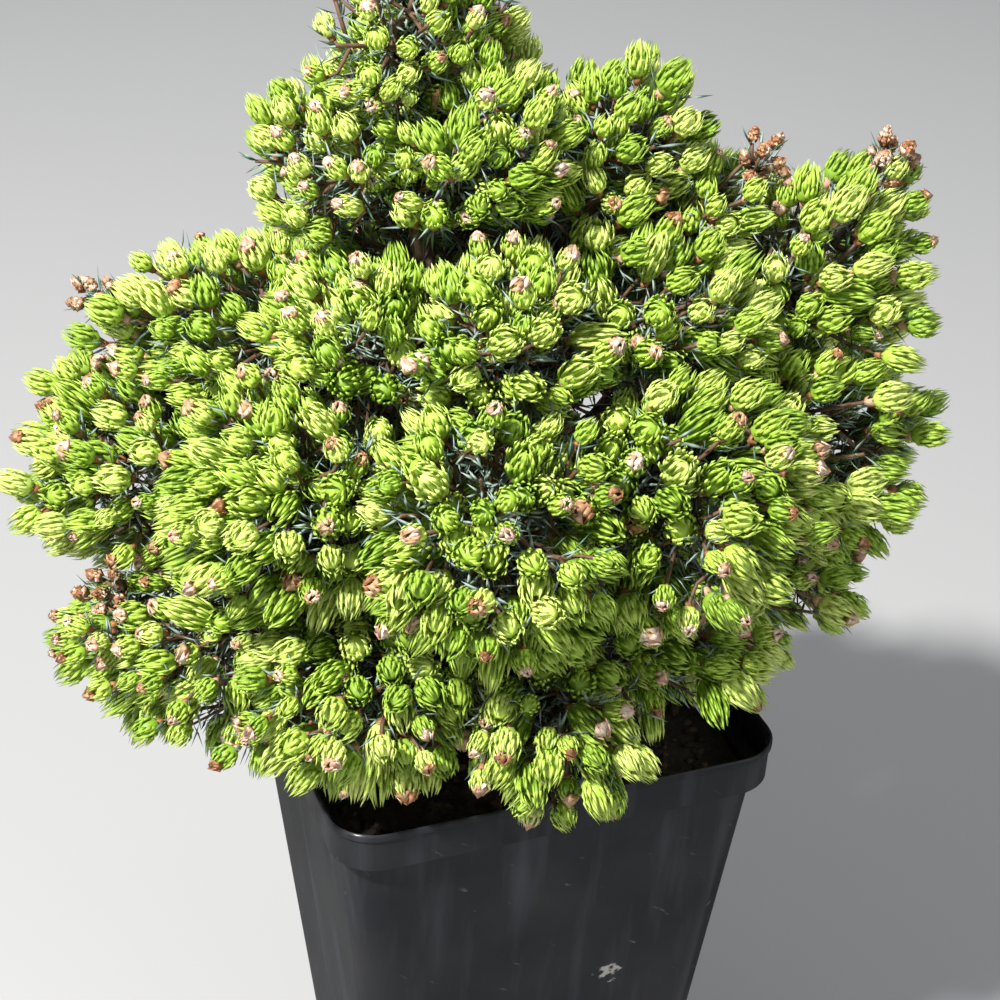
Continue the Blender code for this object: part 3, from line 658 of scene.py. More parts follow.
class Gathered:
    """Points, triangles and the finish of each triangle, gathered for one joined mesh."""

    def __init__(self):
        self.points = []
        self.faces = []
        self.finishes = []
        self.count = 0

    def add(self, points, faces, finishes):
        self.points.append(points)
        self.faces.append(faces + self.count)
        self.finishes.append(finishes)
        self.count += len(points)

    def add_copies(self, points, faces, finishes):
        """Many shapes with the same faces: points by shape, and finishes by shape and face."""
        shapes, corners = points.shape[:2]
        steps = np.arange(shapes)[:, None, None] * corners
        finishes = np.broadcast_to(finishes, (shapes, len(faces)))
        self.add(points.reshape(-1, 3), (faces[None] + steps).reshape(-1, 3), finishes.reshape(-1))


def joined_piece(name, gathered, finishes, smooth=True):
    points = np.concatenate(gathered.points).astype(np.float32)
    faces = np.concatenate(gathered.faces).astype(np.int32)
    mesh = bpy.data.meshes.new(name)
    mesh.vertices.add(len(points))
    mesh.vertices.foreach_set("co", points.reshape(-1))
    mesh.loops.add(len(faces) * 3)
    mesh.loops.foreach_set("vertex_index", faces.reshape(-1))
    mesh.polygons.add(len(faces))
    mesh.polygons.foreach_set("loop_start", np.arange(0, len(faces) * 3, 3, dtype=np.int32))
    mesh.polygons.foreach_set("material_index", np.concatenate(gathered.finishes).astype(np.int32))
    mesh.update(calc_edges=True)
    if smooth:
        mesh.shade_smooth()
    for finish in finishes:
        mesh.materials.append(finish)
    piece = bpy.data.objects.new(name, mesh)
    bpy.context.scene.collection.objects.link(piece)
    return piece


NEEDLE_FACES = np.array(
    [(0, 2, 1)]
    + [face for a, b in ((0, 1), (1, 2), (2, 0)) for face in ((a, b, b + 3), (a, b + 3, a + 3))]
    + [(3, 4, 6), (4, 5, 6), (5, 3, 6)]
)
PLAIN_FACES = np.array([(0, 2, 1), (0, 3, 2), (0, 1, 3), (1, 2, 4), (2, 3, 4), (3, 1, 4)])
INNER_SIDE = np.array([False, True, False, False, True, False])  # of a plain needle: the side next its twig


def keeled(mid, along, outward, width, high, low):
    """A three-sided ring, its keel first."""
    side = unit(np.cross(along, outward))
    keel = np.cross(side, along)
    half = (width / 2)[..., None]
    foot = keel * half * low
    return [mid + keel * half * high, mid + side * half - foot, mid - side * half - foot]


def needles(root, knee, tip, width, outward):
    """Curved three-sided needles, each with two rings and a point."""
    points = []
    for share, full in ((0.26, 0.95), (0.74, 0.86)):
        points += keeled(*curve_at(root, knee, tip, share), outward, width * full, 0.7, 0.3)
    return np.stack([*points, tip], axis=-2)


def plain_needles(root, mid, tip, width, outward):
    """Plain three-sided needles, widest in the middle."""
    return np.stack([root, *keeled(mid, unit(tip - root), outward, width, 0.5, 0.25), tip], axis=-2)


def tube_faces(rings, sides):
    """Faces of a tube whose ends close in a point: the first point, the rings, then the last point."""
    faces = [(0, 1 + (i + 1) % sides, 1 + i) for i in range(sides)]
    for low in range(1, 1 + (rings - 1) * sides, sides):
        for i in range(sides):
            j = (i + 1) % sides
            faces += [(low + i, low + j, low + sides + j), (low + i, low + sides + j, low + sides + i)]
    low = 1 + (rings - 1) * sides
    return np.array(faces + [(low + i, low + (i + 1) % sides, low + sides) for i in range(sides)])


TWIG_SHARES = (0.0, 0.5, 1.0)  # where a twig has its rings
TWIG_SIDES = 4
TWIG_FACES = tube_faces(len(TWIG_SHARES), TWIG_SIDES)
TWIG_POINT = 0.3  # how far a twig's ends stand out, as a share of its radius


def twig_points(twigs):
    """Bent tapering twigs, by twig."""
    start, knee, end = (np.array([twig[part] for twig in twigs]) for part in range(3))
    radius, end_radius = (np.array([twig[part] for twig in twigs])[:, None] for part in (3, 4))
    slant = unit(end - start)
    points = [start - slant * radius * TWIG_POINT]
    for share in TWIG_SHARES:
        mid, along = curve_at(start, knee, end, share)
        wide = radius + (end_radius - radius) * share
        points += [mid + wide * away for away in ring(*across(along, slant), TWIG_SIDES)]
    return np.stack([*points, end + slant * end_radius * TWIG_POINT], axis=1)


class Form(NamedTuple):
    """How the needles of one kind of tuft stand."""

    count: int
    first: float  # height of the lowest and the highest root, as shares of the tuft's length
    last: float
    reach: float  # needle length along the tuft, as a share of its length
    wide: float  # needle width, metres
    fullest: float  # where the outline is widest
    loose: float
    sag: float
    curved: bool  # whether its needles have a ring more, to bend


FORMS = {
    "plump": Form(38, -0.02, 0.42, 0.58, 0.00148, 0.50, 0.07, 0.04, False),
    "long": Form(40, -0.02, 0.54, 0.50, 0.00140, 0.45, 0.10, 0.13, True),
    "young": Form(26, -0.04, 0.36, 0.62, 0.00144, 0.46, 0.05, 0.00, False),
}
# Painted shade: each needle is darker at its foot, deep in the tuft, and paler towards its tip.
CURVED_SHADES = np.array([1, 1, 1, 1, 2, 2, 2, 3, 3, 3])  # how much paler than its tuft each face is
PLAIN_SHADES = np.array([2, 2, 2, 3, 3, 3])
PALEST = 6
CORE_RINGS = ((0.20, 0.72), (0.52, 0.70))
CORE_SIDES = 6
CORE_TIP = 0.78
CORE_FACES = tube_faces(len(CORE_RINGS), CORE_SIDES)
ROOT_OUT = 0.56  # needles root on the core's outside
APEX = 8  # needles that close over a tuft's end
APEX_ROOT = 0.42
APEX_TIP = (0.93, 1.0)
APEX_OUT = (0.16, 0.42)


def outline(height, fullest):
    """How wide a tuft is at a height, as a share of its half width."""
    below = np.clip(height / fullest, 0.0, 1.0)
    above = np.clip((height - fullest) / (1.04 - fullest), 0.0, 1.0)
    return np.where(height < fullest, np.sqrt(1 - (1 - below) ** 2), np.sqrt(np.clip(1 - above**2.2, 0, 1)))


def measures(tufts):
    """Rows of the tufts' feet, tips, ways, lengths and half widths."""
    rows = [(foot_of(tuft), tuft.tip, tuft.aim) for tuft in tufts]
    base, tip, aim = np.array(rows).transpose(1, 0, 2)
    length, width = np.array([(tuft.length, tuft.width) for tuft in tufts]).T
    return base, tip, aim, length[:, None], width[:, None] / 2


def grow_tufts(tufts, kind, gathered, chance):
    """The new needles of all the tufts of one kind, with a slim core in each."""
    form = FORMS[kind]
    base, _, aim, length, half = measures(tufts)
    side, other = across(aim, aim)
    shape = (len(tufts), form.count)
    numbers = np.arange(form.count)[None]
    body = form.count - APEX
    apex = numbers >= body
    share = np.minimum((numbers + 0.5) / body, 1.0)
    angle = chance.uniform(0, math.tau, (len(tufts), 1)) + numbers * GOLDEN_ANGLE
    angle = angle + chance.normal(0, 0.14, shape)
    root_height = form.first + (form.last - form.first) * share
    reach = form.reach * (1.0 - 0.14 * share) * (1 + chance.normal(0, 0.11, shape))
    root_height = np.where(apex, APEX_ROOT, root_height)
    tip_height = np.where(apex, chance.uniform(*APEX_TIP, shape), root_height + reach)
    tip_out = (0.98 if form.curved else 0.90) * outline(tip_height, form.fullest)
    tip_out = tip_out * (1 + chance.normal(0, form.loose, shape))
    tip_out = np.where(apex, chance.uniform(*APEX_OUT, shape), tip_out)
    knee_height = root_height + 0.40 * (tip_height - root_height)
    knee_out = np.where(apex, 0.84, 1.10) * outline(knee_height, form.fullest)
    sag = chance.uniform(0.5, 1.5, (len(tufts), 1)) * form.sag
    away = around(side[:, None], other[:, None], angle[..., None])

    def place(out, height, away):
        point = base[:, None] + away * (out * half)[..., None] + aim[:, None] * (height * length)[..., None]
        point[..., 2] -= sag * length * height**2
        return point

    root = place(ROOT_OUT * outline(np.maximum(root_height, 0.03), form.fullest), root_height, away)
    knee = place(knee_out, knee_height, away)
    tip = place(tip_out, tip_height, away)
    width = form.wide * (1 + chance.normal(0, 0.08, shape)) * np.clip(half / 0.0050, 0.70, 1.1)
    tint = chance.choice(5, size=(len(tufts), 1), p=(0.21, 0.28, 0.26, 0.16, 0.09))
    if form.curved:
        made, faces, shades = needles(root, knee, tip, width, away), NEEDLE_FACES, CURVED_SHADES
    else:
        mid = root * 0.22 + knee * 0.50 + tip * 0.28
        made, faces, shades = plain_needles(root, mid, tip, width, away), PLAIN_FACES, PLAIN_SHADES
    # painted shade: the faces at a needle's foot take a darker tone than those at its tip
    finishes = np.repeat(np.minimum(tint + shades, PALEST), form.count, axis=0)
    gathered.add_copies(made.reshape(-1, made.shape[2], 3), faces, finishes)
    points = [base[:, None]]
    for height, out in np.array(CORE_RINGS)[..., None, None]:
        points += [place(out, height, away[:, None]) for away in ring(side, other, CORE_SIDES)]
    points.append(place(np.zeros((1, 1)), np.array([[CORE_TIP]]), side[:, None]))
    gathered.add_copies(np.concatenate(points, axis=1), CORE_FACES, tint + 2)


def grow_old_needles(clothed, gathered, chance):
    """Last years' needles round the twigs: blue green, with a silver side next the twig."""
    rows = []
    for *line, bare in clothed:
        start, knee, end = (np.array(point) for point in line)
        count = int((line[2] - line[0]).length * (1 - bare) * OLD_NEEDLES_PER_METRE + chance.random())
        if not count:
            continue
        numbers = np.arange(count)
        share = (bare + (1 - bare) * (numbers + chance.random(count)) / count)[:, None]
        foot, along = curve_at(start, knee, end, share)
        angle = chance.uniform(0, 6.28) + numbers * GOLDEN_ANGLE + chance.normal(0, 0.2, count)
        away = around(*across(along, along), angle[:, None])
        length = chance.uniform(*OLD_NEEDLE_LENGTH, count)[:, None]
        heading = unit(around(along, away, chance.uniform(*OPEN_BY, count)[:, None]))
        tip = foot + (heading + along * 0.12) * length
        rows.append((foot + away * SHOOT_RADIUS * 0.6, foot + heading * length * 0.5, tip, away))
    root, mid, tip, out = (np.concatenate(part) for part in zip(*rows))
    width = OLD_NEEDLE_WIDTH * (1 + chance.normal(0, 0.1, len(root)))
    tint = chance.choice(3, size=(len(root), 1), p=(0.35, 0.40, 0.25))
    finishes = np.where(INNER_SIDE, 3, tint)
    gathered.add_copies(plain_needles(root, mid, tip, width, out), PLAIN_FACES, finishes)


class Scales(NamedTuple):
    """How one row of a bud's scales stands."""

    wide: float
    full: float
    rise: float
    lower: float
    open: float


INNER_SCALES = Scales(1.1, 0.80, 0.75, 0.0, 0.0)
OUTER_SCALES = Scales(1.0, 1.0, 0.45, 0.30, 0.28)
SCALE_ROWS = [INNER_SCALES] * 4 + [OUTER_SCALES] * 6
SCALE_FACES = np.array([(0, 1, 2), (1, 3, 2), (0, 3, 1), (0, 2, 3)])
SCALE_PALER = np.array([[0.10, 0.55, 0.30, 0.30]])  # how often each face is paler than its scale
BUD_WHORLS = ((0.12, 1.15), (0.30, 1.10), (0.48, 0.85))
COLLAR_SIDES = 5
COLLAR_RINGS = ((-0.5, 0.8), (0.9, 1.15))
COLLAR_FACES = tube_faces(len(COLLAR_RINGS), COLLAR_SIDES)


def add_scales(frames, foot, size, tint, gathered, chance):
    """A whorl of a bud's loosened scales round each foot, the outer ones short and open."""
    aim, side, other = frames
    column = (len(foot), 1)
    turn = chance.uniform(0, math.tau, column)
    for row in SCALE_ROWS:
        turn = turn + GOLDEN_ANGLE + chance.normal(0, 0.15, column)
        wide = chance.uniform(0.60, 0.85, column) * row.wide
        full = row.full * chance.uniform(0.92, 1.10, column)
        rise = row.rise + chance.normal(0, 0.10, column)
        top = chance.uniform(1.25, 1.60, column) - row.lower
        closed = chance.uniform(0.05, 0.25, column) + row.open
        corners = ((turn, 0.45 * full, rise - 0.75), (turn - wide, full, rise), (turn + wide, full, rise))
        points = [
            foot + size * (around(side, other, angle) * out + aim * height)
            for angle, out, height in (*corners, (turn, closed, top))
        ]
        paler = chance.random(column) < SCALE_PALER
        shades = np.where(paler, np.where(tint == 2, 0, 3), tint)
        gathered.add_copies(np.stack(points, axis=1), SCALE_FACES, shades)


def grow_caps(tufts, gathered, chance):
    """The papery cap that a bud's scales leave on the tip of a young tuft."""
    _, tip, aim, _, half = measures(tufts)
    side, other = across(aim, aim)
    tilt = chance.normal(0, 0.26, (len(tufts), 2))
    aim = unit(aim + side * tilt[:, :1] + other * tilt[:, 1:])
    size = half * chance.uniform(0.50, 0.76, (len(tufts), 1))
    tint = chance.choice(3, size=(len(tufts), 1), p=(0.42, 0.40, 0.18))
    add_scales((aim, side, other), tip - aim * size * 1.25, size, tint, gathered, chance)


def grow_buds(tufts, gathered, chance):
    """Buds that haven't opened yet: three whorls of rusty scales, each smaller than the one below it."""
    base, _, aim, length, half = measures(tufts)
    for height, wide in BUD_WHORLS:
        tint = chance.choice(3, size=(len(tufts), 1), p=(0.30, 0.05, 0.65))
        foot = base + aim * length * height
        add_scales((aim, *across(aim, aim)), foot, half * wide, tint, gathered, chance)


def grow_collars(tufts, gathered, chance):
    """The ring of old bud scales round the foot of each tuft."""
    base, _, aim, _, half = measures(tufts)
    size = half * 0.34
    points = [base - aim * size * 1.1]
    for rise, wide in COLLAR_RINGS:
        for away in ring(*across(aim, aim), COLLAR_SIDES):
            ragged = chance.normal(0, 0.12, (len(tufts), 1))
            points.append(base + away * size * wide + aim * size * (rise + ragged))
    points.append(base + aim * size * 0.4)
    tint = chance.choice(3, size=(len(tufts), 1), p=(0.25, 0.15, 0.60))
    gathered.add_copies(np.stack(points, axis=1), COLLAR_FACES, tint)


# ---- finishes


def node(tree, kind, given=(), **settings):
    """A node with its settings, and with a value or a link for each socket that is given."""
    made = tree.nodes.new(f"ShaderNode{kind}")
    for name, value in settings.items():
        setattr(made, name, value)
    for socket, value in dict(given).items():
        if isinstance(value, bpy.types.NodeSocket):
            tree.links.new(value, made.inputs[socket])
        else:
            made.inputs[socket].default_value = value
    return made


def maths(tree, operation, *given, clamp=False):
    return node(tree, "Math", enumerate(given), operation=operation, use_clamp=clamp).outputs[0]


def ranged(tree, value, low, high):
    return node(tree, "MapRange", {"Value": value, "From Min": low, "From Max": high}).outputs["Result"]


def clouds(tree, place, scale, detail):
    return node(tree, "TexNoise", {"Vector": place, "Scale": scale, "Detail": detail}).outputs["Fac"]


def place_on(tree):
    return node(tree, "TexCoord").outputs["Object"]


def stretched(tree, place, by):
    return node(tree, "VectorMath", {0: place, 1: by}, operation="MULTIPLY").outputs[0]


def colours_mixed(tree, amount, first, second):
    return node(tree, "Mix", {0: amount, 6: first, 7: second}, data_type="RGBA").outputs[2]


def effect(name, given, results):
    """A new node group with the usual values of its inputs: its tree, its inputs and its outputs."""
    made = bpy.data.node_groups.new(name, "ShaderNodeTree")
    for label, value in given.items():
        kind = {3: "Vector", 4: "Color"}[len(value)] if isinstance(value, tuple) else "Float"
        socket = made.interface.new_socket(label, in_out="INPUT", socket_type=f"NodeSocket{kind}")
        socket.default_value = value
    for label, kind in results.items():
        made.interface.new_socket(label, in_out="OUTPUT", socket_type=f"NodeSocket{kind}")
    return made, made.nodes.new("NodeGroupInput").outputs, made.nodes.new("NodeGroupOutput").inputs


def placed(tree, name, given):
    """An effect's outputs in a material."""
    return node(tree, "Group", given, node_tree=bpy.data.node_groups[name]).outputs


def make_mottling():
    """Varies a colour over the surface towards another, and its roughness with it."""
    usual = {"Colour": (0.5, 0.5, 0.5, 1), "Other colour": (0.3, 0.3, 0.3, 1), "Scale": 100.0, "Amount": 0.5}
    usual |= {"Roughness": 0.5, "Roughness spread": 0.2}
    made, given, result = effect("mottling", usual, {"Colour": "Color", "Roughness": "Float"})
    spread = ranged(made, clouds(made, place_on(made), given["Scale"], 3.0), 0.34, 0.66)
    amount = maths(made, "MULTIPLY", spread, given["Amount"])
    rougher = maths(made, "MULTIPLY_ADD", spread, given["Roughness spread"], given["Roughness"])
    made.links.new(colours_mixed(made, amount, given["Colour"], given["Other colour"]), result["Colour"])
    made.links.new(rougher, result["Roughness"])


def make_dust():
    """Where dust lies: on what faces up, in patches, with fine specks."""
    usual = {"Scale": 40.0, "On top": 0.6, "Specks": 0.5}
    made, given, result = effect("dust", usual, {"Mask": "Float"})
    place = place_on(made)
    facing = node(made, "NewGeometry").outputs["Normal"]
    settled_on = ranged(made, node(made, "SeparateXYZ", {0: facing}).outputs["Z"], 0.1, 1.0)
    patchy = ranged(made, clouds(made, place, given["Scale"], 5.0), 0.45, 0.75)
    specks = node(made, "TexVoronoi", {"Vector": place, "Scale": 900.0}).outputs["Distance"]
    few = maths(made, "MULTIPLY", ranged(made, specks, 0.16, 0.08), patchy)
    top = maths(made, "MULTIPLY", maths(made, "MULTIPLY", settled_on, patchy), given["On top"])
    both = maths(made, "MULTIPLY_ADD", few, given["Specks"], top, clamp=True)
    made.links.new(both, result["Mask"])


def make_streaks():
    """Soft or fine streaks drawn out one way."""
    usual = {"Scale": 100.0, "Turn": (0, 0, 0), "Along": (1, 1, 0.1), "From": 0.5, "To": 0.8}
    made, given, result = effect("streaks", usual, {"Mask": "Float"})
    turned = node(made, "Mapping", {"Vector": place_on(made), "Rotation": given["Turn"]}).outputs[0]
    lines = clouds(made, stretched(made, turned, given["Along"]), given["Scale"], 4.0)
    made.links.new(ranged(made, lines, given["From"], given["To"]), result["Mask"])


def make_smear():
    """A small torn smear round one place."""
    made, given, result = effect("smear", {"Place": (0, 0, 0), "Size": 0.006}, {"Mask": "Float"})
    place = place_on(made)
    away = node(made, "VectorMath", {0: place, 1: given["Place"]}, operation="DISTANCE").outputs["Value"]
    share = maths(made, "DIVIDE", away, given["Size"])
    torn = maths(made, "MULTIPLY_ADD", share, -0.22, clouds(made, place, 420.0, 5.0))
    made.links.new(ranged(made, torn, 0.32, 0.42), result["Mask"])


def make_furrows():
    """Bark's height and the depth of its cracks, which the bark's finish darkens as painted shade: long
    flakes split by furrows that run up the limb.
    """
    usual = {"Scale": 220.0, "Stretch": 0.35}
    made, given, result = effect("furrows", usual, {"Height": "Float", "Crack shade": "Float"})
    tall = node(made, "CombineXYZ", {"X": 1.0, "Y": 1.0, "Z": given["Stretch"]}).outputs[0]
    drawn = stretched(made, place_on(made), tall)
    flakes = node(made, "TexVoronoi", {"Vector": drawn, "Scale": given["Scale"]}, feature="DISTANCE_TO_EDGE")
    cracks = ranged(made, flakes.outputs["Distance"], 0.0, 0.22)
    height = maths(made, "MULTIPLY_ADD", clouds(made, drawn, 1400.0, 6.0), 0.5, cracks)
    made.links.new(height, result["Height"])
    made.links.new(cracks, result["Crack shade"])


def finish(name, colour, roughness, **constants):
    """A new material with the plain values of its shader: it, its tree and its shader."""
    made = bpy.data.materials.new(name)
    made.use_nodes = True
    made.diffuse_color = (*colour, 1.0)
    shader = made.node_tree.nodes["Principled BSDF"]
    shader.inputs["Base Color"].default_value = (*colour, 1.0)
    shader.inputs["Roughness"].default_value = roughness
    for socket, value in constants.items():
        shader.inputs[socket.replace("_", " ")].default_value = value
    return made, made.node_tree, shader


def drifting(tree, shader, colour, other, scale, amount, roughness, spread=0.15):
    """Lets a finish's colour drift between two over the surface, and its roughness with it."""
    given = {"Colour": (*colour, 1.0), "Other colour": (*other, 1.0), "Scale": scale, "Amount": amount}
    given |= {"Roughness": roughness, "Roughness spread": spread}
    drift = placed(tree, "mottling", given)
    tree.links.new(drift["Colour"], shader.inputs["Base Color"])
    tree.links.new(drift["Roughness"], shader.inputs["Roughness"])
    return drift


def finishes_of(kind, rows):
    """A drifting finish for each row of colour, other colour, scale, amount and roughness."""
    made = []
    for name, colour, *row, roughness in rows:
        material, tree, shader = finish(f"{kind}_{name}", colour, roughness)
        drifting(tree, shader, colour, *row, roughness)
        made.append(material)
    return made


def bumped(tree, shader, height, distance):
    bump = node(tree, "Bump", {"Height": height, "Distance": distance, "Strength": 1.0})
    tree.links.new(bump.outputs["Normal"], shader.inputs["Normal"])


# The darker tones at a needle's foot are painted shade, for the shade deep in its tuft.
NEW_TONES = (  # from the shaded foot of a needle to its pale tip, and from greener tufts to yellower
    ("deep", (0.120, 0.225, 0.015)),
    ("leaf", (0.170, 0.300, 0.021)),
    ("fresh", (0.230, 0.380, 0.030)),
    ("bright", (0.305, 0.465, 0.044)),
    ("lime", (0.390, 0.550, 0.066)),
    ("yellow", (0.485, 0.630, 0.105)),
    ("pale", (0.585, 0.705, 0.165)),
)
NEW_ROWS = [(name, tone, tuple(0.80 * part for part in tone), 90.0, 0.55, 0.42) for name, tone in NEW_TONES]
OLD_ROWS = (
    ("deep", (0.026, 0.066, 0.030), (0.046, 0.100, 0.056), 120.0, 0.6, 0.45),
    ("blue", (0.054, 0.122, 0.080), (0.090, 0.170, 0.125), 120.0, 0.6, 0.42),
    ("grey", (0.120, 0.210, 0.150), (0.080, 0.150, 0.105), 120.0, 0.6, 0.45),
    ("silver", (0.290, 0.370, 0.310), (0.150, 0.220, 0.180), 260.0, 0.7, 0.5),
)
SCALE_TONES = (
    ("tan", (0.440, 0.225, 0.110), (0.580, 0.380, 0.235), 500.0, 0.8, 0.5),
    ("pink", (0.580, 0.350, 0.250), (0.440, 0.210, 0.125), 500.0, 0.8, 0.45),
    ("rust", (0.250, 0.095, 0.035), (0.380, 0.170, 0.070), 500.0, 0.8, 0.5),
    ("pale", (0.740, 0.600, 0.470), (0.600, 0.400, 0.280), 700.0, 0.8, 0.45),
)
TWIG_ROWS = (("brown", (0.095, 0.050, 0.026), (0.170, 0.098, 0.054), 350.0, 0.7, 0.6),)
CRUMB_ROWS = (
    ("crumb_black", (0.014, 0.010, 0.007), (0.036, 0.024, 0.016)),
    ("crumb_brown", (0.060, 0.034, 0.019), (0.120, 0.070, 0.042)),
    ("crumb_tan", (0.200, 0.110, 0.060), (0.110, 0.055, 0.028)),
)
POT_WEAR_AND_REFLECTION = (  # effect, its values, and its tone
    # painted reflection: soft bluish streaks drawn out up and down the pot's sides
    ("streaks", {"Scale": 120.0, "Along": (1, 1, 0.07), "From": 0.50, "To": 0.80}, (0.040, 0.043, 0.050)),
    ("dust", {"Scale": 34.0, "On top": 0.35, "Specks": 0.20}, (0.090, 0.088, 0.082)),
    (
        "streaks",
        {"Scale": 330.0, "Turn": (0.3, 0.9, 0.2), "Along": (1, 1, 0.05), "From": 0.69, "To": 0.76},
        (0.085, 0.085, 0.085),
    ),
    ("smear", {"Place": (0.0212, -0.0635, 0.1104), "Size": 0.0036}, (0.340, 0.330, 0.300)),
)


def bark_finish():
    made, tree, shader = finish("bark", (0.16, 0.10, 0.065), 0.85)
    drift = drifting(tree, shader, (0.150, 0.088, 0.052), (0.270, 0.190, 0.130), 120.0, 0.9, 0.75, 0.2)
    lines = placed(tree, "furrows", {"Scale": 260.0, "Stretch": 0.35})
    # painted shade: the bark turns a near black brown along its cracks
    shaded = colours_mixed(tree, lines["Crack shade"], (0.040, 0.022, 0.014, 1.0), drift["Colour"])
    tree.links.new(shaded, shader.inputs["Base Color"])
    bumped(tree, shader, lines["Height"], 0.0006)
    return made


def compost_finish(name, colour, other):
    made, tree, shader = finish(name, colour, 0.95)
    drifting(tree, shader, colour, other, 260.0, 0.8, 0.85, 0.1)
    bumped(tree, shader, clouds(tree, place_on(tree), 700.0, 6.0), 0.0012)
    return made


def pot_finish():
    """Black moulded plastic: half glossy, faintly uneven, with soft bluish streaks of painted reflection,
    scuffed and dusty, with dried mud.
    """
    coat = {"Specular_IOR_Level": 0.0, "Coat_Weight": 0.16, "Coat_Roughness": 0.20}
    made, tree, shader = finish("moulded_plastic", (0.012, 0.013, 0.015), 0.4, **coat)
    drift = drifting(tree, shader, (0.015, 0.016, 0.019), (0.026, 0.026, 0.027), 28.0, 0.8, 0.40)
    colour = drift["Colour"]
    # the first streaks are painted reflection; the fine scuffs, the dust and the smear are the pot's own
    # marks
    for name, given, tone in POT_WEAR_AND_REFLECTION:
        mask = placed(tree, name, given)["Mask"]
        colour = colours_mixed(tree, mask, colour, (*tone, 1.0))
        if name == "dust":
            duller = maths(tree, "MULTIPLY_ADD", mask, 0.5, drift["Roughness"], clamp=True)
    tree.links.new(colour, shader.inputs["Base Color"])
    tree.links.new(duller, shader.inputs["Roughness"])
    bumped(tree, shader, clouds(tree, place_on(tree), 900.0, 2.0), 0.00003)
    return made


# ---- pot and compost


def wall_side(height):
    """The pot's outer side under the collar, at a height above the foot."""
    return FOOT_SIDE + (RIM_SIDE - 2 * COLLAR_STEP - FOOT_SIDE) * height / LEDGE


def deselect():
    bpy.ops.object.select_all(action="DESELECT")


def picked(thing, kind, test):
    """In edit mode, selects only the faces or edges that pass the test."""
    bpy.ops.mesh.select_mode(type=kind)
    bpy.ops.mesh.select_all(action="DESELECT")
    shape = bmesh.from_edit_mesh(thing.data)
    for item in {"FACE": shape.faces, "EDGE": shape.edges}[kind]:
        item.select_set(bool(test(item)))
    bmesh.update_edit_mesh(thing.data)


def grown(rise, share):
    """Extrudes what is selected upwards, and widens it about the middle line."""
    bpy.ops.mesh.extrude_region_move(TRANSFORM_OT_translate={"value": (0, 0, rise)})
    bpy.ops.transform.resize(value=(share, share, 1), center_override=(0, 0, 0))


def modified(thing, kind, **settings):
    """Adds a modifier and applies it."""
    made = thing.modifiers.new(kind, kind)
    for name, value in settings.items():
        setattr(made, name, value)
    bpy.context.view_layer.objects.active = thing
    bpy.ops.object.modifier_apply(modifier=made.name)


def settled(thing):
    """Leaves the object at the origin, unturned and unscaled, with its place in its mesh."""
    deselect()
    thing.select_set(True)
    bpy.context.view_layer.objects.active = thing
    bpy.ops.object.transform_apply(location=True, rotation=True, scale=True)
    bpy.ops.object.mode_set(mode="EDIT")
    bpy.ops.mesh.select_all(action="SELECT")
    bpy.ops.mesh.normals_make_consistent(inside=False)
    bpy.ops.object.mode_set(mode="OBJECT")
    bpy.ops.object.shade_smooth_by_angle(angle=math.radians(30))
    deselect()


SOFT = 0.0004  # rise of the small steps that round the collar's lower edge
LIP_SIDE = RIM_SIDE + 0.0006
COLLAR_SIDE = RIM_SIDE - 2 * COLLAR_FLARE
COLLAR_PROFILE = (  # rises and the sides after them, from the wall up the ledge and the collar to the lip
    (SOFT, wall_side(LEDGE) + 0.0012),
    (LEDGE_RISE - SOFT, COLLAR_SIDE - 0.0010),
    (SOFT, COLLAR_SIDE),
    (COLLAR_HEIGHT - LEDGE_RISE - 0.0036, RIM_SIDE - COLLAR_FLARE),
    (0.0006, LIP_SIDE),
    (0.0018, LIP_SIDE),
    (0.0006, RIM_SIDE - 0.0004),
)


